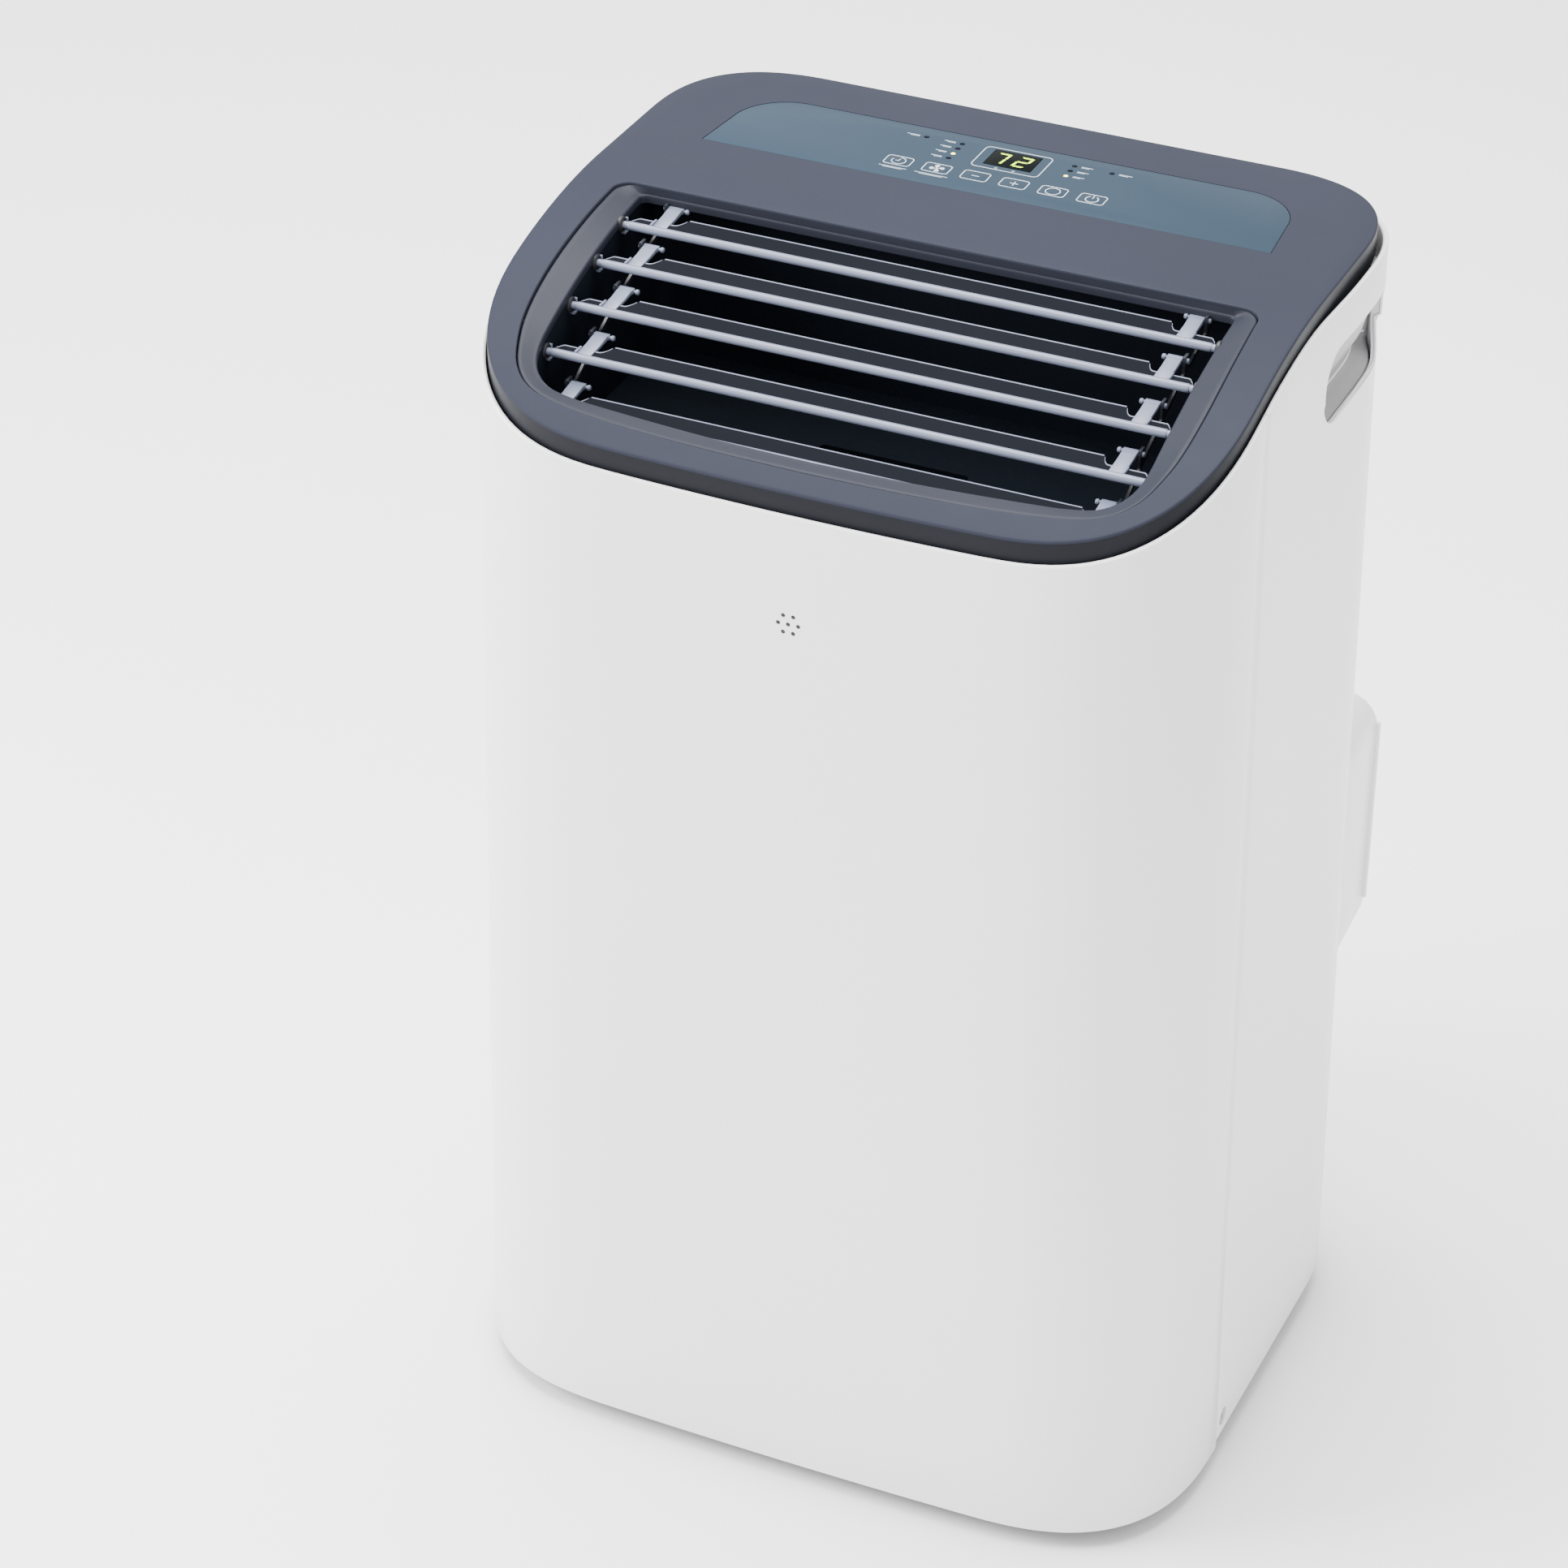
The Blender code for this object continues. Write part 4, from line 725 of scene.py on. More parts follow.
def wall_section(low, levels, high, rim):
    """One closed wall section as (inset, height, shoulder): up the outside, over the rim, down inside."""
    outside = [(0.9, low, 0.0), (0.25, low + 0.3, 0.0), (0.0, low + 1.0, 0.0)] + levels
    half = rim / 2
    turns = [math.pi * k / 8 for k in range(9)]
    over = [(half * (1 - math.cos(t)), high - half + half * math.sin(t), 1.0) for t in turns]
    inside = [(rim, high - 12.0, 1.0), (WALL, high - 58.0, 0.0)]
    return outside + over + inside + [(WALL, low + 0.5, 0.0), (WALL - 0.5, low, 0.0)]


def shell_rows(run, low, level_heights, shoulder):
    """Rows of a shell: one closed wall section at each point along its outline."""
    count = len(run(0.0, 0.0))
    cache = {}

    def outline(z, inset):
        key = (round(z, 2), round(inset, 3))
        if key not in cache:
            cache[key] = run(*key)
        return cache[key]

    base = outline(CASE_HEIGHT, 0.0)
    rim = size("rim")
    rows = []
    for i in range(count):
        y = base[i][1]
        high = rim_z(y)
        levels = [(0.0, z, share) for z, share in level_heights(high)]
        row = []
        at_end = 0.3 if i in (0, count - 1) else 0.0
        for inset, z, share in wall_section(low, levels, high, rim):
            moved = inset + (at_end if inset < WALL / 2 else 0.0)
            x, along = outline(z, moved)[i]
            proud = shoulder(along) * share
            grown_x, grown_y = outline(z, moved - 1.0)[i]
            row.append((x + (grown_x - x) * proud, along + (grown_y - along) * proud, z))
        rows.append(row)
    return rows


# ---------------------------------------------------------------- casing pieces


def make_front_shell():
    """The front shell with its seven sounder holes, and a black screen and plugs behind them: painted shade
    inside the holes.
    """

    def heights(high):
        return [(high * k / 12, 0.0) for k in range(1, 12)]

    shell = woven("front_shell_skin", shell_rows(front_run, 0.0, heights, lambda y: 0.0), ring_u=True)
    front = -CASE_DEPTH / 2 - FRONT_BOW
    centres = [(0.0, SOUNDER_HEIGHT), *ring_points(0.0, SOUNDER_HEIGHT, 5.6, steps=6)]
    holes = [turned("hole", [(1.25, -3.0), (1.25, 5.0)], (x, front, z), "y", 20) for x, z in centres]
    carve(shell, gather("holes", holes))
    settle(shell, "shell", "casing", ["front_shell"])
    # The black screen and plugs fill the sounder holes as painted shade.
    inside = front + WALL
    low, high = SOUNDER_HEIGHT - 9, SOUNDER_HEIGHT + 9
    screen = block("sounder_screen", (-9, inside + 0.3, low), (9, inside + 1.5, high), 0.3)
    profile = [(0.2, 0.35), (1.15, 0.35), (1.15, 3.2), (0.2, 3.2)]
    plugs = [turned("plug", profile, (x, front, z), "y", 16) for x, z in centres]
    settle(gather("sounder_screen", [screen, *plugs]), "black", "casing", ())


def grip_outline(grow, steps=10):
    """A grip opening's outline on the side wall, drawn larger by grow."""
    front, back, low, high, radius = GRIP
    return rounded(front - grow, back + grow, low - grow, high + grow, radius + grow, steps)


def make_rear_shell():
    """The side and back shell, pierced for the grips, grilles, hood, fittings and side screws."""

    def heights(high):
        fixed = [30 + 38 * k for k in range(15)]
        lower = [(z, 0.0) for z in fixed if z < high - 60]
        step = [(high - 55 + 1.6 * k, (k / 5) ** 2 * (3 - 2 * k / 5)) for k in range(6)]
        return lower + step + [(high - 38, 1.0), (high - 20, 1.0)]

    shell = woven("rear_shell_skin", shell_rows(rear_run, 5.3, heights, bulge), ring_u=True)
    rear = CASE_DEPTH / 2
    for sign in (1, -1):
        low, high = sorted((sign * 150.0, sign * 240.0))
        carve(shell, plate("cutter", grip_outline(0.0), low, high, "x"))
    openings = [(GRILLE_HALF, low, high, 4.0) for name, low, high in GRILLES] + [(82.0, 213.0, 350.0, 6.0)]
    for half, low, high, radius in openings:
        carve(shell, plate("cutter", rounded(-half, half, low, high, radius), rear - 20, rear + 20, "y"))
    for x, z, radius in ((*LEAD_INLET, 6.2), *((x, z, 5.2) for name, x, z in DRAINS)):
        carve(shell, turned("cutter", [(radius, -20), (radius, 20)], (x, rear, z), "y", 32))
    for sign in (1, -1):
        carve(shell, turned("cutter", [(5.6, -15), (5.6, 15)], (sign * 219, *SCREW_PLACE), "x", 32))
    settle(shell, "shell", "casing", ["rear_shell"])


def side_point(y_along, inset, z):
    """A point on the +X side's surface at a distance along it, carried round the rear corner."""
    width = half_width(z)
    radius, power = REAR_CORNER
    straight = CASE_DEPTH / 2 - radius
    if y_along <= straight:
        return (width - inset, y_along)
    y_share = min(1.0, (y_along - straight) / (radius - inset))
    x_share = (1 - y_share**power) ** (1 / power)
    return (width - radius + (radius - inset) * x_share, y_along)


def grip_ends(y):
    """The share of a grip's depth that is left near its front and back ends."""
    front, back = GRIP[:2]
    near = min(1.0, (y - front + 1.5) / 9.0, (back - y + 2.0) / 14.0)
    return math.sin(max(0.0, near) * math.pi / 2)


def grip_stations(columns=60):
    """Places along a grip, from just before its front end to just past its back end."""
    front, back = GRIP[:2]
    return [front - 4 + (back - front + 8) * c / columns for c in range(columns + 1)]


def make_grip_cup(sign, name):
    """A scoop: shallow under the upper edge and deepest near the lower one."""
    low, high = GRIP[2:4]
    profile = [(low - 4, 0.0), (low - 1, 0.1), (low + 1, 0.42), (low + 2.5, 0.74), (low + 4, 0.93)]
    profile += [(low + 5.5, 1.0), (low + 7.5, 0.98), (low + 10, 0.93), (low + 16, 0.78), (low + 22, 0.63)]
    profile += [(low + 28, 0.48), (high - 11, 0.35), (high - 6, 0.24), (high - 2, 0.14)]
    profile += [(high + 1, 0.05), (high + 4, 0.0)]
    rows = []
    for z, share in profile:
        line, behind = [], []
        for y in grip_stations():
            inset = WALL + 0.3 + (size("grip_depth") - WALL) * share * grip_ends(y)
            proud = bulge(y) if z > rim_z(y) - 50 else 0.0
            x, along = side_point(y, inset - proud, z)
            line.append((sign * x, along, z))
            x, along = side_point(y, inset + 2.0, z)
            behind.append((sign * x, along, z))
        rows.append(line + behind[::-1])
    cup = woven("grip_cup_skin_" + name, rows, ring_u=True)
    # The scoop takes the darker copy of the shell's white: painted shade in the recess.
    settle(cup, "grip", "casing", ["grip_cup_" + name], 28.0)


def make_grip_crest(sign, name):
    """The pale crest along a scoop's deepest line."""
    z = GRIP[2] + 6.4
    crest = []
    for y in grip_stations()[2:-2]:
        x, along = side_point(y, WALL + 0.1 + (size("grip_depth") - WALL) * grip_ends(y), z)
        crest.append((sign * x, along, z))
    settle(bar("grip_crest_" + name, crest, 0.75, 10), "shell", "casing", (), 60.0)


def make_grip_lip(sign, name):
    """The rolled lip round a grip's opening."""
    lip = []
    for y, z in grip_outline(0.15, 14):
        proud = bulge(y) if z > rim_z(y) - 51 else 0.0
        x, along = side_point(y, 0.75 - proud, z)
        lip.append((sign * x, along, z))
    rim = bar("grip_lip_" + name, lip + lip[:1], 0.85, 8)
    settle(rim, "shell", "casing", (), 80.0)


def make_grips():
    """Both hand grips."""
    for sign, name in ((1, "right"), (-1, "left")):
        make_grip_cup(sign, name)
        make_grip_crest(sign, name)
        make_grip_lip(sign, name)


# ---------------------------------------------------------------- top cover and outlet


def ray_hit(outline, angle, centre=OUTLET_CENTRE):
    """Where a ray from the outlet's centre meets a closed outline."""
    dx, dy = math.cos(angle), math.sin(angle)
    best = None
    for i, (x0, y0) in enumerate(outline):
        x1, y1 = outline[(i + 1) % len(outline)]
        ex, ey = x1 - x0, y1 - y0
        cross = dx * ey - dy * ex
        if abs(cross) < 1e-12:
            continue
        ax, ay = x0 - centre[0], y0 - centre[1]
        reach = (ax * ey - ay * ex) / cross
        along = (ax * dy - ay * dx) / cross
        if reach > 0 and -1e-9 <= along <= 1 + 1e-9:
            best = reach if best is None else min(best, reach)
    return (centre[0] + dx * best, centre[1] + dy * best)


def smooth_arc(points, pieces):
    """Catmull-Rom points through an open run of points."""
    made = []
    last = len(points) - 1
    for i in range(last):
        ends = (points[max(i - 1, 0)], points[i], points[i + 1], points[min(i + 2, last)])
        for k in range(pieces):
            t = k / pieces
            pulls = (-t + 2 * t**2 - t**3, 2 - 5 * t**2 + 3 * t**3, t + 4 * t**2 - 3 * t**3, t**3 - t**2)
            made.append(tuple(sum(pull * end[axis] for pull, end in zip(pulls, ends)) / 2 for axis in (0, 1)))
    return made + [points[-1]]


def mirrored(right_side):
    """A right half of an outline with its mirror image added."""
    return right_side + [(-x, y) for x, y in reversed(right_side) if abs(x) > 1e-6]


def groove_outline():
    """The line round the outlet's surround: small back corners, sides that draw in to a bowed front."""
    turns = (0.2, 0.5, 0.8, 1.1, 1.4)
    back = [(166.0, 4.0)] + [(172 + 10 * math.sin(a), -6 + 10 * math.cos(a)) for a in turns]
    side = [(182.2, -12), (183.0, -30), (183.8, -62), (183.6, -85)]
    side += [(182, -106), (178.5, -122), (171.5, -138), (159, -148.8)]
    front = [(138, -154.6), (100, -158.6), (50, -160.7), (0, -161.4)]
    run = smooth_arc(back + side + front, 5)
    return mirrored([(0.0, 4.0), (80.0, 4.0)] + run)


def mouth_outline():
    """The outlet's mouth: nearly square back corners and large front ones."""
    back = [(163.5 + 4.5 * math.sin(a), -1.8 + 4.5 * math.cos(a)) for a in (0.0, 0.4, 0.8, 1.2)]
    side = [(168, -12), (168, -60), (167.8, -100), (167.2, -118)]
    side += [(164.4, -129), (158.5, -137), (149, -142.6), (135, -145.2)]
    front = [(121, -146.4), (80, -148.6), (40, -149.9), (0, -150.3)]
    run = smooth_arc(back + side + front, 5)
    return mirrored([(0.0, 2.7), (80.0, 2.7)] + run)


def case_outline(inset):
    """Both shells' outline near the top as one closed run."""
    front = front_run(CASE_HEIGHT - 20, inset)
    rear = rear_run(CASE_HEIGHT - 20, inset)[1:-1]
    return front + rear[::-1]


def ray_angles(*outlines):
    """Angles from the outlet's centre through the outlines' vertices, thinned where they crowd."""
    angles = sorted(
        math.atan2(y - OUTLET_CENTRE[1], x - OUTLET_CENTRE[0]) for outline in outlines for x, y in outline
    )
    kept = [angles[0]]
    for angle in angles[1:]:
        if angle - kept[-1] > 0.006:
            kept.append(angle)
    return kept


def toward(point, other, distance):
    """A point moved by a distance toward another."""
    gap = math.hypot(other[0] - point[0], other[1] - point[1])
    share = distance / gap
    return (point[0] + (other[0] - point[0]) * share, point[1] + (other[1] - point[1]) * share)


def draped(point, drop):
    """A point of the plan set on the curved top, or below it by drop."""
    return (point[0], point[1], top_z(point[1]) - drop)


def panel_outline(grow):
    """The key panel's outline: a straight front edge, ends that lean in, and two large back corners."""
    radius = 32.0 + grow
    front, back, half = 67.0 - grow, 132.0 + grow, 161.5 + grow
    points = [(half + 1.5, front)]
    for k in range(15):
        angle = math.pi / 2 * k / 14
        x = half - 1.5 - radius + radius * math.cos(angle)
        points.append((x, back - radius + radius * math.sin(angle)))
    return mirrored(points)


def key_places():
    """Where the keys' centres lie along the panel."""
    return [KEY_PITCH * (k - 2.5) for k in range(len(KEY_KINDS))]


def window_outline(half, tall, radius):
    """A rounded rectangle about the middle of the display window."""
    return rounded(-half, half, WINDOW_MIDDLE - tall, WINDOW_MIDDLE + tall, radius)


def make_top_cover():
    """The dark cover: side band, soft crease, curved top, rounded groove edge, and its inside."""
    outer, groove = case_outline(COVER_INSET), groove_outline()
    rows = []
    for angle in ray_angles(outer, groove):
        p, q = ray_hit(outer, angle), ray_hit(groove, angle)
        row = [draped(p, 15.5), draped(p, 9.0)]
        row += [
            draped(toward(p, q, 1.1 * (1 - math.cos(a))), 1.1 * (1 - math.sin(a)))
            for a in (0.0, 0.4, 0.8, 1.2)
        ]
        start, end = toward(p, q, 1.2), toward(q, p, 0.9)
        row += [draped(toward(start, end, math.dist(start, end) * k / 12), 0.0) for k in range(12)]
        row += [
            draped(toward(q, p, 0.9 * (1 - math.sin(a))), 0.9 * (1 - math.cos(a)))
            for a in (0.0, 0.4, 0.8, 1.2)
        ]
        row += [draped(q, 2.4)]
        inner = toward(p, q, 2.4)
        row += [draped(toward(q, inner, math.dist(q, inner) * k / 6), 2.6) for k in range(1, 6)]
        row += [draped(inner, 2.8), draped(inner, 15.5)]
        rows.append(row)
    cover = woven("top_cover_skin", rows, ring_u=True, ring_v=True)
    carve(cover, plate("cutter", panel_outline(0.35), CASE_HEIGHT - 1.3, CASE_HEIGHT + 10.0))
    for x in key_places():
        key_hole = rounded(x - 8.4, x + 8.4, KEY_ROW - 6.1, KEY_ROW + 6.1, 2.4)
        carve(cover, plate("cutter", key_hole, CASE_HEIGHT - 9, CASE_HEIGHT + 9))
    carve(cover, plate("cutter", window_outline(14.2, 10.2, 1.0), CASE_HEIGHT - 9, CASE_HEIGHT + 9))
    settle(cover, "cover", "casing", ["top_cover"], 35.0)
    # The side band's faces take the darker copy of the cover's finish: painted shade on the cover's sides.
    cover.data.materials.append(FINISHES["band"])
    middle = at((*OUTLET_CENTRE, 0.0))
    for face in cover.data.polygons:
        drop = top_z(face.center.y * 1000 - PLAN_Y) + FLOOR_GAP - face.center.z * 1000
        outward = face.normal.x * (face.center.x - middle.x) + face.normal.y * (face.center.y - middle.y)
        if drop > 1.05 and (outward > 0.02 or drop > 2.0):
            face.material_index = 1


def make_surround():
    """The dished surround between the cover's groove and the mouth, and the dark duct under it."""
    groove, mouth = groove_outline(), mouth_outline()
    rows = []
    sink = 5.6
    for angle in ray_angles(groove, mouth):
        g, m = ray_hit(groove, angle), ray_hit(mouth, angle)
        outer = toward(g, m, 0.5)
        wide = math.dist(outer, m)
        lead = min(1.0, wide * 0.3)
        row = [draped(outer, 6.0), draped(outer, 2.2)]
        row += [
            draped(toward(outer, m, lead * (1 - math.cos(a))), 1.3 + 0.9 * (1 - math.sin(a)))
            for a in (0.5, 1.1, 1.57)
        ]
        last = max(lead + 0.05, wide - 1.4)
        row += [
            draped(toward(outer, m, lead + (last - lead) * k / 5), 1.3 + (sink - 1.9) * k / 5)
            for k in range(1, 6)
        ]
        end = toward(outer, m, last)
        row += [
            draped(toward(end, m, math.dist(end, m) * math.sin(a)), sink - 0.6 + 1.4 * (1 - math.cos(a)))
            for a in (0.5, 1.0, 1.57)
        ]
        row += [draped(m, 9.5)]
        under = toward(m, outer, min(1.2, wide * 0.8))
        row += [draped(under, 9.5), draped(toward(outer, m, min(1.2, wide * 0.6)), 7.6)]
        rows.append(row)
    surround = woven("outlet_surround", rows, ring_u=True, ring_v=True)
    # The surround takes the darker copy of the cover's finish: painted shade in the dish.
    settle(surround, "surround", "casing", ["outlet_frame"], 40.0)
    make_duct()


def duct_outline(grow):
    """The duct's plan: the mouth's front and sides carried straight back behind the mouth."""
    side = 168.3 + grow
    back = 24.0 + grow
    shifted = []
    for x, y in [p for p in mouth_outline() if p[1] < -20 and p[0] >= 0]:
        ahead = y - OUTLET_CENTRE[1]
        away = math.hypot(x, ahead)
        shifted.append((x + (x / away) * grow, y + (ahead / away) * grow))
    turns = (0, 0.4, 0.8, 1.2, 1.57)
    rear = [(0.0, back), (80.0, back)]
    rear += [(side - 10 + 10 * math.sin(a), back - 10 + 10 * math.cos(a)) for a in turns]
    return mirrored(rear + [(side, -19.0)] + shifted)


def make_duct():
    """The dark duct under the louvres: a wall with a closed floor."""
    inner, outer = duct_outline(0.6), duct_outline(2.4)
    floor = DUCT_FLOOR + DUCT_SKIN
    rows = []
    for (ix, iy), (ox, oy) in zip(inner, outer):
        roof_in, roof_out = (3.0 if iy > 2 else 8.2), (3.0 if oy > 2 else 8.2)
        wall = [(ox, oy, DUCT_FLOOR), (ox, oy, top_z(oy) - roof_out), (ix, iy, top_z(iy) - roof_in)]
        inside = [(ix * (1 - k / 4), -62 + (iy + 62) * (1 - k / 4), floor) for k in range(4)]
        under = [(ox * (1 - k / 4), -62 + (oy + 62) * (1 - k / 4), DUCT_FLOOR) for k in range(3, 0, -1)]
        rows.append(wall + inside + under)
    duct = woven("outlet_duct", rows, ring_v=True, ring_u=True)
    settle(duct, "duct", "casing", ())


# ---------------------------------------------------------------- louvres


def louvre_centre(number):
    """The bead's centre, from the CAD louvre's box: its front edge lies 3 mm before the pivot."""
    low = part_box("louvre_%d" % number)[0]
    y = low.y * 1000 - PLAN_Y + 3.0
    z = (low.z * 1000 - FLOOR_GAP) + 2.0
    return y, z


def chord_at(x):
    """The blade's chord along its length: scooped beside each link arm and cut back at its ends."""
    before_link = max(0.0, LINK_X - abs(x) - 6.0)
    scoop = max(0.0, 1 - (before_link / 5.0) ** 2)
    ends = max(0.0, min(1.0, (BLADE_END - abs(x)) / 3.5))
    return 5.0 + (17.6 - 8.5 * scoop - 5.0) * ends * ends * (3 - 2 * ends)


def make_louvre():
    """The first louvre: beaded blade, two link arms with knobbed cross pins, and stepped end pins."""
    y, z = louvre_centre(1)
    stations = [-BLADE_END, -BLADE_END + 0.3, -BLADE_END + 1.1]
    x = -162.0
    while x < -130:
        stations.append(x)
        x += 1.0
    stations += [-128 + 16 * k for k in range(9)]
    stations = stations + [-s for s in reversed(stations[:-1])]
    bead = size("bead")
    rows = []
    for x in stations:
        small = 0.75 if abs(x) > 164.4 else (0.93 if abs(x) > 164.0 else 1.0)
        c = chord_at(x)
        upper = [(bead * math.cos(a), bead * math.sin(a)) for a in (3.0, 2.6, 2.2, 1.8, 1.4, 1.0)]
        lower = [(bead * math.cos(a), bead * math.sin(a)) for a in (-1.0, -1.4, -1.8, -2.2, -2.6, -3.0)]
        blade = [(2.4, 0.95), (4.5, 0.8), (c - 1.0, 0.65), (c - 0.2, 0.8), (c, 0.3)]
        blade += [(c, -0.4), (c - 0.6, -0.8), (4.5, -0.8), (2.4, -1.0)]
        rows.append([(x, y + u * small, z + v * small) for u, v in upper + blade + lower])
    blade = woven("blade", rows, ring_u=True)
    # Faces of the blade behind the bead take the near-black copy: painted shade.
    blade.data.materials.append(FINISHES["louvre"])
    blade.data.materials.append(FINISHES["blade"])
    for face in blade.data.polygons:
        behind = face.center.y * 1000 - PLAN_Y - y
        if 2.9 < behind < chord_at(face.center.x * 1000) - 0.9:
            face.material_index = 1
    pieces = []
    for side in (1, -1):
        mid = side * LINK_X
        arm = [(3.0, 0.9), (14.0, 1.7), (21.0, 2.9), (25.6, 3.0)]
        arm += [(25.6, 0.6), (21.5, 0.3), (14.0, -0.4), (3.0, -0.9)]
        pieces.append(plate("arm", [(y + u, z + v) for u, v in arm], mid - 4.0, mid + 4.0, "x", 0.35))
        knob = [(0.95, 5.2), (1.5, 5.6), (1.5, 6.8), (1.1, 7.3), (0.3, 7.4)]
        pin = [(radius, -along) for radius, along in reversed(knob)] + knob
        pieces.append(turned("pin", pin, (mid, y + 24.5, z + 1.5), "x", 20))
        pieces.append(block("knuckle", (mid - 4.4, y + 23.2, z + 0.2), (mid + 4.4, y + 25.8, z + 3.1), 0.4))
        rib = side * (LINK_X + 4.5)
        pieces.append(block("tab", (rib - 0.6, y + 2.0, z - 0.8), (rib + 0.6, y + 9.0, z + 2.2), 0.25))
        stub = [(1.0, 0.0), (2.0, 0.3), (2.0, 3.2), (1.2, 3.5), (1.2, 6.0)]
        profile = [(radius, side * (163.8 + height)) for radius, height in stub]
        pieces.append(turned("stub", profile, (0, y, z), "x", 20))
    for piece in pieces:
        piece.data.materials.append(FINISHES["louvre"])
    return gather("louvre_skin_1", [blade, *pieces])


def make_louvres():
    """The five louvres, copied from the first, and their pivot sockets."""
    first = make_louvre()
    y1, z1 = louvre_centre(1)
    for number in LOUVRES[1:]:
        y, z = louvre_centre(number)
        twin = copy_piece(first, "louvre_skin_%d" % number, (0, y - y1, z - z1))
        settle(twin, None, "louvre_%d" % number, ["louvre_%d" % number])
    settle(first, None, "louvre_1", ["louvre_1"])
    for number in LOUVRES:
        make_pivot_sockets(number, *louvre_centre(number))


def make_pivot_sockets(number, y, z):
    """The dark caps in the duct's walls that hold a louvre's end pins, and a light clip beside each."""
    caps, clips = [], []
    for side in (1, -1):
        base = side * 168.9
        profile = [(1.5, 0.0), (4.4, 0.0), (4.4, -1.5), (3.6, -2.1), (2.4, -2.1), (2.4, -1.2), (1.5, -1.0)]
        caps.append(turned("cap", [(r, side * h) for r, h in profile], (base, y, z), "x", 24, ring=True))
        low, high = sorted((base - side * 2.6, base))
        clips.append(block("clip", (low, y + 3.4, z - 4.6), (high, y + 4.8, z + 2.4), 0.3))
        clips.append(block("foot", (low, y + 0.8, z - 6.2), (high, y + 4.8, z - 4.8), 0.3))
    settle(gather("pivot_caps_%d" % number, caps), "black", "casing", ())
    settle(gather("pivot_clips_%d" % number, clips), "louvre", "casing", ())


# ---------------------------------------------------------------- key panel


def ribbon(points, width, closed=False):
    """Quads along a line, mitred at its corners."""
    half = width / 2
    count = len(points)
    sides = []
    for i in range(count):
        before = points[i - 1] if closed or i else points[i]
        after = points[(i + 1) % count] if closed or i < count - 1 else points[i]
        a = Vector(points[i]) - Vector(before)
        b = Vector(after) - Vector(points[i])
        a = a.normalized() if a.length else b.normalized()
        b = b.normalized() if b.length else a
        normal = Vector((-(a.y + b.y), a.x + b.x)).normalized()
        stretch = half / max(0.35, normal.dot(Vector((-a.y, a.x))))
        sides.append((Vector(points[i]) + normal * stretch, Vector(points[i]) - normal * stretch))
    shapes = []
    for i in range(count if closed else count - 1):
        l0, r0 = sides[i]
        l1, r1 = sides[(i + 1) % count]
        shapes.append([tuple(l0), tuple(r0), tuple(r1), tuple(l1)])
    return shapes


def printed(name, shapes, z, thickness=0.06):
    """Ink on a surface: flat shapes drawn at one height and given a slight thickness."""
    mesh = bpy.data.meshes.new(name)
    work = bmesh.new()
    for shape in shapes:
        work.faces.new([work.verts.new(at((x, y, z))) for x, y in shape])
    bmesh.ops.remove_doubles(work, verts=work.verts, dist=0.000001)
    bmesh.ops.recalc_face_normals(work, faces=work.faces)
    for face in work.faces:
        if face.normal.z < 0:
            face.normal_flip()
    work.to_mesh(mesh)
    work.free()
    piece = bpy.data.objects.new(name, mesh)
    bpy.context.scene.collection.objects.link(piece)
    only(piece)
    bpy.ops.object.modifier_add(type="SOLIDIFY")
    step = piece.modifiers[-1]
    step.thickness = thickness * 0.001
    step.offset = 1.0
    bpy.ops.object.modifier_apply(modifier=step.name)
    return piece


def key_symbol(kind, x, y):
    """The symbol on a key: timer, fan, minus, plus, mode or power."""
    line = size("line")
    if kind == "timer":
        shapes = ribbon(ring_points(x, y, 3.9, 2.7, 5.2), line)
        return shapes + ribbon([(x - 2.0, y), (x, y), (x + 0.2, y + 2.2)], line)
    if kind == "fan":
        shapes = [ring_points(x, y, 0.8, steps=12)]
        for k in range(4):
            turn = math.tau * k / 4 + 0.3
            blade = [(1.1, -0.3), (3.0, -1.7), (4.1, -0.9), (4.1, 0.7), (3.0, 1.4), (1.1, 0.5)]
            points = [
                (u * math.cos(turn) - v * math.sin(turn), u * math.sin(turn) + v * math.cos(turn))
                for u, v in blade
            ]
            shapes.append([(x + u, y + v) for u, v in points])
        return shapes
    if kind == "down":
        return ribbon([(x - 2.2, y), (x + 2.2, y)], line * 1.1)
    if kind == "up":
        shapes = ribbon([(x - 2.4, y), (x + 2.4, y)], line * 1.1)
        for sign in (1, -1):
            shapes += ribbon([(x, y + sign * 0.3), (x, y + sign * 2.4)], line * 1.1)
        return shapes
    if kind == "mode":
        lobes = []
        for k in range(64):
            turn = math.tau * k / 64
            radius = 3.75 + 0.32 * abs(math.cos(4 * turn))
            lobes.append((x + radius * math.cos(turn), y + radius * math.sin(turn)))
        return ribbon(lobes, line, True)
    ring = ring_points(x, y - 0.2, 3.5, 2.1, 5.23)
    return ribbon(ring, line * 1.2) + ribbon([(x, y + 0.6), (x, y + 4.2)], line * 1.2)


def make_keys():
    """Six domed keys, each with its printed frame and symbol."""
    top = CASE_HEIGHT + 0.02
    y = KEY_ROW
    for kind, x in zip(KEY_KINDS, key_places()):
        outline = rounded(x - 7.75, x + 7.75, y - 5.5, y + 5.5, 2.0)
        key = plate("key_skin_" + kind, outline, top - 3.0, top - 0.08, "z", 0.18)
        key.data.materials.append(FINISHES["panel"])
        frame_line = rounded(x - 7.45, x + 7.45, y - 5.2, y + 5.2, 1.9)
        marks = ribbon(frame_line, size("line") * 1.1, True) + key_symbol(kind, x, y)
        ink = printed("ink", marks, top - 0.08, 0.05)
        ink.data.materials.append(FINISHES["print"])
        piece = gather("key_skin_" + kind, [key, ink])
        settle(piece, None, "key_" + kind, ["key_" + kind])


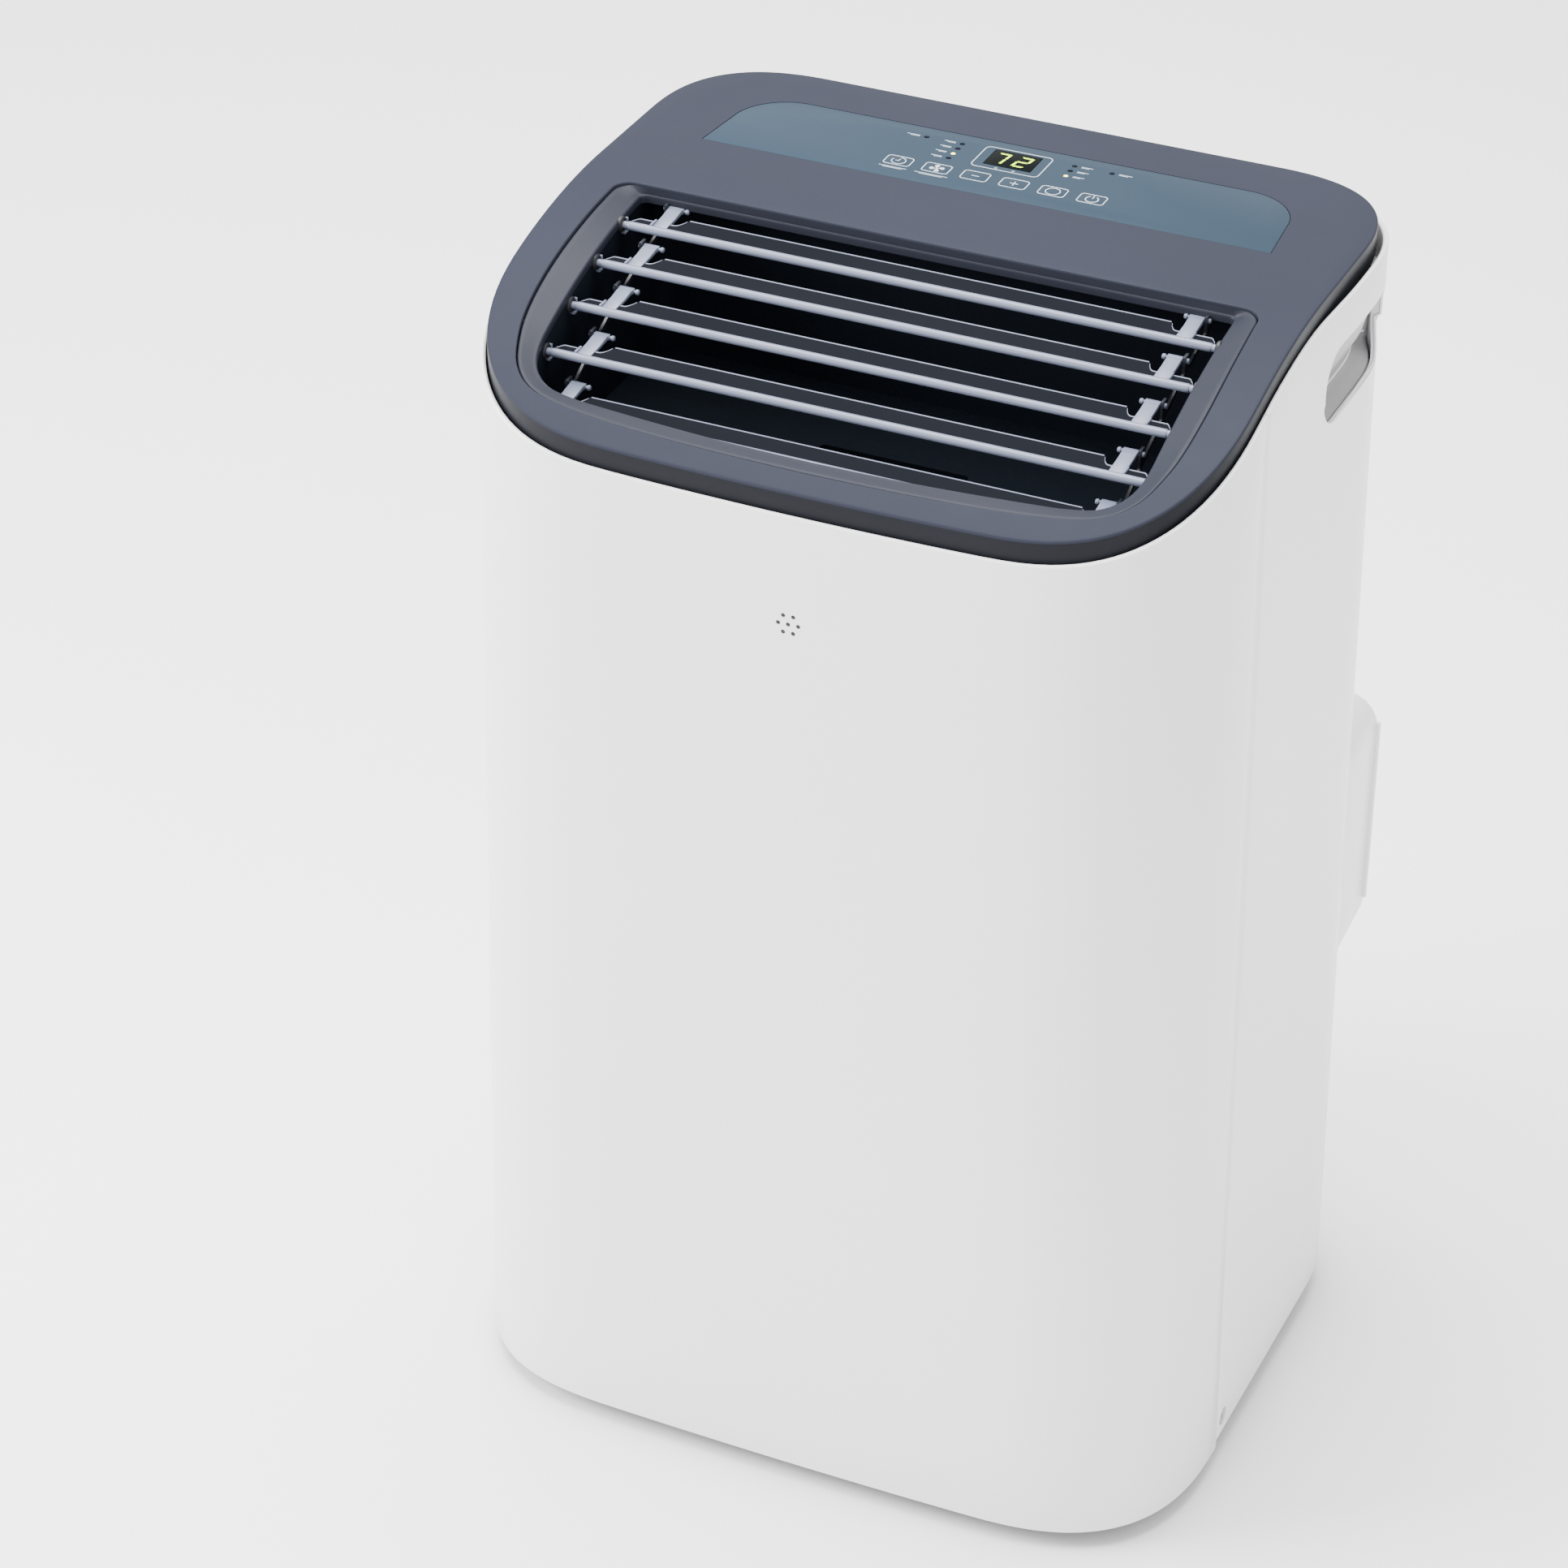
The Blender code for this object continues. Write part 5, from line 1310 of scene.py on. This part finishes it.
def lamp_places():
    """The lamps' centres: four, three, and one further out on each side."""
    left = [(-32.8, 120.8), (-32.8, 114.4), (-32.8, 107.9), (-32.8, 101.4)]
    right = [(32.5, 120.8), (32.5, 114.4), (32.5, 107.9)]
    return left + right + [(-53.8, 120.8), (54.0, 120.8)]


def make_panel():
    """The slate panel, its printed marks, the display with its digits, and the lamps."""
    top = CASE_HEIGHT - 0.05
    panel = plate("key_panel_skin", panel_outline(0.0), CASE_HEIGHT - 1.2, top, "z", 0.2)
    for x in key_places():
        key_hole = rounded(x - 7.95, x + 7.95, KEY_ROW - 5.7, KEY_ROW + 5.7, 2.1)
        carve(panel, plate("cutter", key_hole, CASE_HEIGHT - 9, CASE_HEIGHT + 9))
    carve(panel, plate("cutter", window_outline(13.8, 9.8, 0.5), CASE_HEIGHT - 9, CASE_HEIGHT + 9))
    bore = [(1.55, -9), (1.55, 9)]
    holes = [turned("hole", bore, (x, y, CASE_HEIGHT), "z", 20) for x, y in lamp_places()]
    carve(panel, gather("holes", holes))
    settle(panel, "panel", "casing", ["key_panel"])
    line = size("line")
    frame_line = rounded(-19.3, 19.3, 98.8, 124.4, 3.0)
    marks = ribbon(frame_line, line, True)
    for x, y in lamp_places():
        side = -1 if x < 0 else 1
        start = x + side * 4.0
        length = 6.4 if abs(x) < 40 else 7.6
        for offset, share in ((-0.5, 0.7), (0.5, 1.0)):
            marks += ribbon([(start, y + offset), (start + side * length * share, y + offset)], 0.42)
    for x, half in zip(key_places(), (8.0, 9.5)):
        for offset, share in ((0.0, 1.0), (-1.1, 0.7)):
            marks += ribbon([(x - half * share, 78.6 + offset), (x + half * share, 78.6 + offset)], 0.42)
    for x in (-5.0, 5.0):
        marks += ribbon(ring_points(x, 100.6, 0.7, steps=14), 0.25, True)
    ink = printed("panel_print", marks, top)
    settle(ink, "print", "casing", ())
    make_display()
    make_lamps()


def segment_outlines(w, h, t, gap):
    """A seven-segment digit's outlines by letter, from its half width, half height and thickness."""
    across = [(-w + gap + 0.2, 0.0), (w - gap - 0.2, 0.0), (w - t - gap, -t), (-w + t + gap, -t)]
    inner = w - t
    upper = [(w, h - 0.3), (w, gap + 0.3), (w - t * 0.6, gap), (inner, t * 0.5 + gap), (inner, h - t - gap)]
    lower = [
        (w, -gap - 0.3), (w, -h + 0.3), (inner, -h + t * 0.4), (inner, -t * 0.5 - gap), (w - t * 0.6, -gap)
    ]
    left = [
        (-w, -gap - 0.3), (-w + t * 0.6, -gap), (-inner, -t * 0.5 - gap), (-inner, -h + t + gap),
        (-w, -h + 0.3),
    ]
    levels = {"a": h, "g": t / 2, "d": -h + t}
    outlines = {name: [(u, v + level) for u, v in across] for name, level in levels.items()}
    return outlines | {"b": upper, "c": lower, "e": left}


def make_display():
    """A black window with two slanted seven-segment digits."""
    top = CASE_HEIGHT - 0.02
    window = plate("display_skin", window_outline(13.5, 9.5, 0.4), CASE_HEIGHT - 5.0, top, "z", 0.12)
    window.data.materials.append(FINISHES["window"])
    outlines = segment_outlines(3.75, 6.4, 1.3, 0.2)
    slant = 0.16
    shapes = []
    for centre, lit in ((-7.4, "abc"), (5.6, "abged")):
        for name in lit:
            shapes.append([(centre + u + v * slant, WINDOW_MIDDLE + v) for u, v in outlines[name]])
    glow = printed("glow", shapes, top, 0.04)
    glow.data.materials.append(FINISHES["digits"])
    piece = gather("display_skin", [window, glow])
    settle(piece, None, "casing", ["display_window"])


def make_lamps():
    """The domed lamps, two of them lit, on their light guides."""
    dark, bright = [], []
    for k, (x, y) in enumerate(lamp_places()):
        profile = [(1.35, -4.5), (1.35, -0.25), (1.2, 0.0), (0.8, 0.14), (0.3, 0.2)]
        dome = turned("dome", profile, (x, y, CASE_HEIGHT - 0.1), "z", 20)
        (bright if k in (2, 6) else dark).append(dome)
    base = block("base", (-60, 98.0, CASE_HEIGHT - 5.4), (-20, 126.0, CASE_HEIGHT - 3.9), 0.3)
    other = block("base", (20, 98.0, CASE_HEIGHT - 5.4), (60, 126.0, CASE_HEIGHT - 3.9), 0.3)
    unlit = gather("lamps_dark", dark + [base, other])
    settle(unlit, "lamp_off", "casing", ["lamp_guide"])
    settle(gather("lamps_lit", bright), "lamp_on", "casing", ())


# ---------------------------------------------------------------- back of the unit


def hood_outline(grow, y):
    """The hood's outline at one depth: its lower edge drops toward the case."""
    half, high, radius = 204.0 + grow, 354.0 + grow, 20.0 + grow
    low = 205.0 - grow - (HOOD_BACK - y) * 0.144
    points = [(0.0, low), (half - 10, low)]
    turns = (0.3, 0.6, 0.9, 1.2, 1.57)
    points += [(half - 10 + 10 * math.sin(a), low + 10 - 10 * math.cos(a)) for a in turns]
    points += [(half, low + 14)]
    for k in range(11):
        angle = math.pi / 2 * k / 10
        points.append((half - radius + radius * math.cos(angle), high - radius + radius * math.sin(angle)))
    points += [(0.0, high)]
    return points + [(-x, z) for x, z in reversed(points) if abs(x) > 1e-6]


def make_hood():
    """The exhaust housing: a rounded box that hugs the rear corners, with a rail down each side."""
    stages = [(0.0, 120.0), (0.0, 160.0), (0.0, 197.4), (-0.35, 198.9), (-1.2, 199.7), (-2.4, 200.0)]
    rows = [[(x, y, z) for x, z in hood_outline(grow, y)] for grow, y in stages]
    hood = woven("exhaust_hood_skin", rows, ring_u=True)
    rows = [[(x, y, z) for x, z in hood_outline(-2.4, y)] for y in (100.0, 197.4)]
    carve(hood, woven("cutter", rows, ring_u=True))
    outline = case_outline(-0.25)
    near_top = half_width(CASE_HEIGHT - 20)
    body = [[(x * half_width(z) / near_top, y, z) for x, y in outline] for z in (150.0, 400.0)]
    carve(hood, woven("cutter", body, ring_u=True))
    carve(hood, turned("cutter", [(66.4, -20), (66.4, 20)], (0, HOOD_BACK, COLLAR_HEIGHT), "y", 96))
    rails = [hood]
    for sign in (1, -1):
        low, high = sorted((sign * 202.6, sign * 205.8))
        rails.append(block("rail", (low, 196.6, 217), (high, 199.6, 338), 0.9, 3))
    settle(gather("exhaust_hood_skin", rails), "shell", "casing", ["exhaust_hood"])
    make_collar()


def make_collar():
    """The hose collar: a beaded ring with a guard of flat slats and one post."""
    profile = [(63, 193.3), (71, 193.3), (71, 197), (66, 197.2), (66, 205), (67.4, 206), (67.4, 208.6)]
    profile += [(66, 209.6), (66, 211.2), (65.3, 212), (63.7, 212), (63, 211.2)]
    pieces = [turned("collar", profile, (0, 0, COLLAR_HEIGHT), "y", 96, ring=True)]
    for step in range(-3, 4):
        z = COLLAR_HEIGHT + 14 * step
        half = math.sqrt(64.5**2 - (14 * step) ** 2)
        pieces.append(block("slat", (-half, 194.0, z - 0.9), (half, 198.0, z + 0.9), 0.5))
    low, high = COLLAR_HEIGHT - 64.0, COLLAR_HEIGHT + 64.0
    pieces.append(block("post", (-1.2, 193.8, low), (1.2, 197.6, high), 0.5))
    settle(gather("hose_collar_skin", pieces), "shell", "casing", ["hose_collar"])


def make_intakes():
    """Two slotted intake grilles: a frame, a centre post and tilted slats."""
    rear = CASE_DEPTH / 2
    half = GRILLE_HALF - 0.5
    front, back = rear - 3.0, rear
    for name, opening_low, opening_high in GRILLES:
        low, high = opening_low + 0.5, opening_high - 0.5
        pieces = []
        rails = (((-half, low), (half, low + 7)), ((-half, high - 7), (half, high)))
        posts = ((-half, -half + 7), (-3.0, 3.0), (half - 7, half))
        for (x0, z0), (x1, z1) in rails:
            pieces.append(block("edge", (x0, front, z0), (x1, back, z1), 0.7, 3))
        for x0, x1 in posts:
            foot, head = (x0, front + 0.2, low + 5.5), (x1, back - 0.25, high - 5.5)
            pieces.append(block("edge", foot, head, 0.7, 3))
        count = int((high - low - 14) / 5.9)
        pitch = (high - low - 14) / count
        slat = block("slat", (-half + 5, rear - 2.6, 0), (half - 5, rear - 0.5, 2.3), 0.6)
        for vertex in slat.data.vertices:
            vertex.co.z -= (vertex.co.y * 1000 - PLAN_Y - rear + 1.5) * 0.00055
        for k in range(count):
            pieces.append(copy_piece(slat, "slat", (0, 0, low + 7 + pitch * (k + 0.5) - 1.1)))
        bpy.data.objects.remove(slat)
        grille = name + "_grille"
        settle(gather(grille + "_skin", pieces), "shell", grille, [grille])


def make_fittings():
    """The lead's inlet gland, the two drain plugs and the side screws."""
    rear = CASE_DEPTH / 2
    profile = [(3.6, -14), (5.8, -14), (5.8, 0.3), (8.6, 0.3), (9.0, 0.8), (9.0, 1.6), (8.2, 2.2)]
    profile += [(7.2, 2.6), (6.6, 4.4), (6.0, 5.0), (4.0, 5.0), (3.6, 4.4)]
    gland = turned("cord_inlet_skin", profile, (LEAD_INLET[0], rear, LEAD_INLET[1]), "y", 40, ring=True)
    settle(gland, "black", "casing", ["cord_inlet"])
    plug = [(0.5, -12), (4.8, -12), (4.8, 0.4), (7.6, 0.4), (8.0, 0.8)]
    plug += [(8.0, 2.4), (7.4, 3.0), (6.0, 3.1), (5.4, 4.0), (0.5, 4.0)]
    for name, x, z in DRAINS:
        piece = turned("drain_plug_skin_" + name, plug, (x, rear, z), "y", 32)
        tab = block("tab", (x - 1.2, rear + 3.0, z - 6.0), (x + 1.2, rear + 3.9, z + 6.0), 0.4)
        stopper = gather("drain_plug_skin_" + name, [piece, tab])
        settle(stopper, "rubber", "casing", ["drain_plug_" + name])
    head = 216.9
    profile = [(0.4, -9.0), (1.8, -8.6), (1.8, 0.0), (4.2, 0.0)]
    profile += [(4.2, 0.7), (3.6, 1.7), (2.0, 2.3), (0.4, 2.4)]
    y, z = SCREW_PLACE
    for sign, name in ((1, "right"), (-1, "left")):
        turned_profile = [(radius, sign * (head + height)) for radius, height in profile]
        screw = turned("side_screw_skin_" + name, turned_profile, (0, y, z), "x", 32)
        low, high = sorted((sign * (head + 1.2), sign * (head + 4.0)))
        for wide, tall in ((2.3, 0.4), (0.4, 2.3)):
            carve(screw, block("slot", (low, y - wide, z - tall), (high, y + wide, z + tall), 0))
        settle(screw, "steel", "casing", ["side_screw_" + name])


# ---------------------------------------------------------------- casters


def make_casters():
    """The swivel casters: forks with pressed cheeks, and treaded wheels with dished hubs."""
    low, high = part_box("caster_wheel_front_right")
    hub = [(low[k] + high[k]) * 500 for k in range(3)]
    hub = (hub[0], hub[1] - PLAN_Y, hub[2] - FLOOR_GAP)
    x, y, z = hub[0], hub[1] - 13.0, hub[2]
    top = 37.6
    disc = [(0.5, -4.0), (14.2, -4.0), (15.0, -3.4), (15.0, -0.6), (14.4, 0.0), (0.5, 0.0)]
    stem = [(0.5, -1.0), (4.0, -1.0), (4.0, 11.0), (3.2, 12.0), (0.5, 12.0)]
    pieces = [turned("disc", disc, (x, y, top), "z", 40), turned("stem", stem, (x, y, top), "z", 24)]
    for sign in (1, -1):
        a, b = sorted((x + sign * 7.8, x + sign * 10.4))
        side = [(y - 9, top - 2), (y - 2, z + 8), (y + 6, z - 3)]
        side += ring_points(y + 13, z, 6.5, math.radians(-150), math.radians(175), 7)
        side += [(y + 16, top - 8), (y + 10, top - 2)]
        pieces.append(plate("cheek", side, a, b, "x", 0.5))
    axle = [(1.0, -10.9), (2.6, -10.8), (3.0, -10.2), (3.0, 10.2), (2.6, 10.8), (1.0, 10.9)]
    pieces.append(turned("axle", axle, hub, "x", 28))
    fork = gather("fork_skin_front_right", pieces)
    tread = [(3.3, -6.0), (4.2, -6.6), (8.0, -6.6), (9.0, -4.6), (13.6, -4.6)]
    tread += [(14.6, -6.4), (15.4, -7.0), (17.2, -7.0), (18.5, -6.2), (19.0, -4.6)]
    tread += [(19.0, -1.0), (18.5, -0.6), (18.5, 0.6), (19.0, 1.0)]
    tread += [(r, -h) for r, h in reversed(tread[:10])]
    wheel = turned("wheel_skin_front_right", tread, hub, "x", 64, ring=True)
    made = {}
    for name, sx, sy in (("front_left", -1, 0), ("rear_right", 0, 1), ("rear_left", -1, 1)):
        shift = (2 * x * sx, -2 * y * sy, 0.0)
        twins = (("fork_skin_", fork), ("wheel_skin_", wheel))
        made[name] = [copy_piece(piece, kind + name, shift) for kind, piece in twins]
    made["front_right"] = [fork, wheel]
    for name, (fork_piece, wheel_piece) in made.items():
        settle(fork_piece, "black", "fork_" + name, ["caster_fork_" + name])
        settle(wheel_piece, "rubber", "wheel_" + name, ["caster_wheel_" + name])


# ---------------------------------------------------------------- carried-over parts


def finish_parts():
    """Finishes for the parts whose own shapes stay."""
    finishes = {
        "base_pan": "black",
        "mid_deck": "duct",
        "drain_tray": "duct",
        "upper_scroll": "duct",
        "lower_scroll": "duct",
        "upper_wheel": "black",
        "lower_wheel": "black",
        "upper_motor": "steel",
        "lower_motor": "steel",
        "swing_motor": "steel",
        "electrical_box": "steel",
        "run_capacitor": "steel",
        "compressor": "enamel",
        "accumulator": "enamel",
        "discharge_line": "copper",
        "suction_line": "copper",
        "evaporator": "fins",
        "condenser": "fins",
        "control_board": "board",
        "upper_filter": "net",
        "lower_filter": "net",
        "link_bar_left": "link",
        "link_bar_right": "link",
    }
    for node, finish in finishes.items():
        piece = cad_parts[node]
        piece.data.materials.clear()
        piece.data.materials.append(FINISHES[finish])


# ---------------------------------------------------------------- stage


def make_stage():
    """A pale floor, soft lights and the camera."""
    deselect()
    bpy.ops.mesh.primitive_plane_add(size=14.0, location=(0, 1.0, 0))
    floor = bpy.context.object
    floor.name = "floor"
    pale = Look("floor_pale", (0.93, 0.93, 0.935), 0.65)
    pale.tint(pale.noise(0.6, 2.0), 0.995, 1.0)
    floor.data.materials.append(pale.material)
    world = bpy.data.worlds.new("studio")
    bpy.context.scene.world = world
    world.use_nodes = True
    world.node_tree.nodes["Background"].inputs["Color"].default_value = (1.0, 1.0, 1.0, 1.0)
    world.node_tree.nodes["Background"].inputs["Strength"].default_value = 1.5
    lights = (
        ("key_light", (-2.4, -1.4, 1.8), (1.4, 1.8), 200.0),
        ("strip_light", (2.0, -1.9, 0.9), (0.3, 2.2), 26.0),
        ("top_light", (-0.4, 0.2, 3.2), (2.4, 2.4), 260.0),
    )
    target = Vector((0, 0, 0.4))
    for name, place, (wide, tall), power in lights:
        deselect()
        bpy.ops.object.light_add(type="AREA", location=place)
        light = bpy.context.object
        light.name = name
        light.data.shape = "RECTANGLE"
        light.data.size = wide
        light.data.size_y = tall
        light.data.energy = power
        light.rotation_euler = (target - Vector(place)).to_track_quat("-Z", "Y").to_euler()
    make_camera()


def make_camera():
    """The camera: its direction from the unit, its roll, its place and its lens."""
    azimuth, elevation, roll = 0.4257, 0.5711, 0.0065
    level = math.cos(elevation)
    back = Vector((math.sin(azimuth) * level, -math.cos(azimuth) * level, math.sin(elevation)))
    right = Vector((math.cos(azimuth), math.sin(azimuth), 0.0))
    up = back.cross(right)
    c, s = math.cos(roll), math.sin(roll)
    columns = (c * right + s * up, c * up - s * right, back)
    matrix = Matrix([[columns[k][row] for k in range(3)] for row in range(3)]).to_4x4()
    matrix.translation = at((854.6, -2064.7, 1789.9))
    data = bpy.data.cameras.new("view_camera")
    data.sensor_width = 36.0
    data.lens = 109.39
    data.clip_end = 50.0
    camera = bpy.data.objects.new("view_camera", data)
    bpy.context.scene.collection.objects.link(camera)
    camera.matrix_world = matrix
    bpy.context.scene.camera = camera


# ---------------------------------------------------------------- operators and panel


class AIRCON_OT_finishes(bpy.types.Operator):
    """Makes every finish"""

    bl_idname = "aircon.finishes"
    bl_label = "Finishes"

    def execute(self, context):
        make_finishes()
        return {"FINISHED"}


class AIRCON_OT_front_shell(bpy.types.Operator):
    """Builds the white front shell"""

    bl_idname = "aircon.front_shell"
    bl_label = "Front shell"

    def execute(self, context):
        make_front_shell()
        return {"FINISHED"}


class AIRCON_OT_rear_shell(bpy.types.Operator):
    """Builds the white side and back shell"""

    bl_idname = "aircon.rear_shell"
    bl_label = "Rear shell"

    def execute(self, context):
        make_rear_shell()
        return {"FINISHED"}


class AIRCON_OT_grips(bpy.types.Operator):
    """Builds the hand grip scoops and their lips"""

    bl_idname = "aircon.grips"
    bl_label = "Hand grips"

    def execute(self, context):
        make_grips()
        return {"FINISHED"}


class AIRCON_OT_top_cover(bpy.types.Operator):
    """Builds the dark top cover"""

    bl_idname = "aircon.top_cover"
    bl_label = "Top cover"

    def execute(self, context):
        make_top_cover()
        return {"FINISHED"}


class AIRCON_OT_surround(bpy.types.Operator):
    """Builds the outlet's surround and duct"""

    bl_idname = "aircon.surround"
    bl_label = "Outlet"

    def execute(self, context):
        make_surround()
        return {"FINISHED"}


class AIRCON_OT_louvres(bpy.types.Operator):
    """Builds the louvres and their pivot clips"""

    bl_idname = "aircon.louvres"
    bl_label = "Louvres"

    def execute(self, context):
        make_louvres()
        return {"FINISHED"}


class AIRCON_OT_panel(bpy.types.Operator):
    """Builds the key panel, display and lamps"""

    bl_idname = "aircon.panel"
    bl_label = "Key panel"

    def execute(self, context):
        make_panel()
        return {"FINISHED"}


class AIRCON_OT_keys(bpy.types.Operator):
    """Builds the keys with their symbols"""

    bl_idname = "aircon.keys"
    bl_label = "Keys"

    def execute(self, context):
        make_keys()
        return {"FINISHED"}


class AIRCON_OT_hood(bpy.types.Operator):
    """Builds the exhaust housing and hose collar"""

    bl_idname = "aircon.hood"
    bl_label = "Exhaust housing"

    def execute(self, context):
        make_hood()
        return {"FINISHED"}


class AIRCON_OT_intakes(bpy.types.Operator):
    """Builds the intake grilles"""

    bl_idname = "aircon.intakes"
    bl_label = "Intake grilles"

    def execute(self, context):
        make_intakes()
        return {"FINISHED"}


class AIRCON_OT_fittings(bpy.types.Operator):
    """Builds the gland, drain plugs and screws"""

    bl_idname = "aircon.fittings"
    bl_label = "Fittings"

    def execute(self, context):
        make_fittings()
        return {"FINISHED"}


class AIRCON_OT_casters(bpy.types.Operator):
    """Builds the casters"""

    bl_idname = "aircon.casters"
    bl_label = "Casters"

    def execute(self, context):
        make_casters()
        return {"FINISHED"}


class AIRCON_OT_parts(bpy.types.Operator):
    """Finishes the parts whose shapes stay"""

    bl_idname = "aircon.parts"
    bl_label = "Other parts"

    def execute(self, context):
        finish_parts()
        return {"FINISHED"}


class AIRCON_OT_stage(bpy.types.Operator):
    """Builds the floor, lights and camera"""

    bl_idname = "aircon.stage"
    bl_label = "Stage"

    def execute(self, context):
        make_stage()
        return {"FINISHED"}


OPERATORS = (
    AIRCON_OT_finishes,
    AIRCON_OT_front_shell,
    AIRCON_OT_rear_shell,
    AIRCON_OT_grips,
    AIRCON_OT_top_cover,
    AIRCON_OT_surround,
    AIRCON_OT_louvres,
    AIRCON_OT_panel,
    AIRCON_OT_keys,
    AIRCON_OT_hood,
    AIRCON_OT_intakes,
    AIRCON_OT_fittings,
    AIRCON_OT_casters,
    AIRCON_OT_parts,
    AIRCON_OT_stage,
)


class AIRCON_PT_sidebar(bpy.types.Panel):
    """Lists the unit's pieces in the sidebar."""

    bl_label = "Air Conditioner"
    bl_idname = "AIRCON_PT_sidebar"
    bl_space_type = "VIEW_3D"
    bl_region_type = "UI"
    bl_category = "Air Conditioner"

    def draw(self, context):
        for group in (context.scene.casing_sizes, context.scene.finish_colours):
            for name in group.bl_rna.properties.keys():
                if name not in ("rna_type", "name"):
                    self.layout.prop(group, name)
        for entry in OPERATORS:
            self.layout.operator(entry.bl_idname)


CLASSES = (CasingSizes, FinishColours, *OPERATORS, AIRCON_PT_sidebar)


def register():
    for entry in CLASSES:
        bpy.utils.register_class(entry)
    bpy.types.Scene.casing_sizes = bpy.props.PointerProperty(type=CasingSizes)
    bpy.types.Scene.finish_colours = bpy.props.PointerProperty(type=FinishColours)


def unregister():
    del bpy.types.Scene.casing_sizes
    del bpy.types.Scene.finish_colours
    for entry in reversed(CLASSES):
        bpy.utils.unregister_class(entry)


def main():
    """Registers the add-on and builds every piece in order."""
    register()
    for entry in OPERATORS:
        name = entry.bl_idname.split(".")[1]
        getattr(bpy.ops.aircon, name)()
    deselect()
    bpy.context.view_layer.update()


if __name__ == "__main__":
    main()
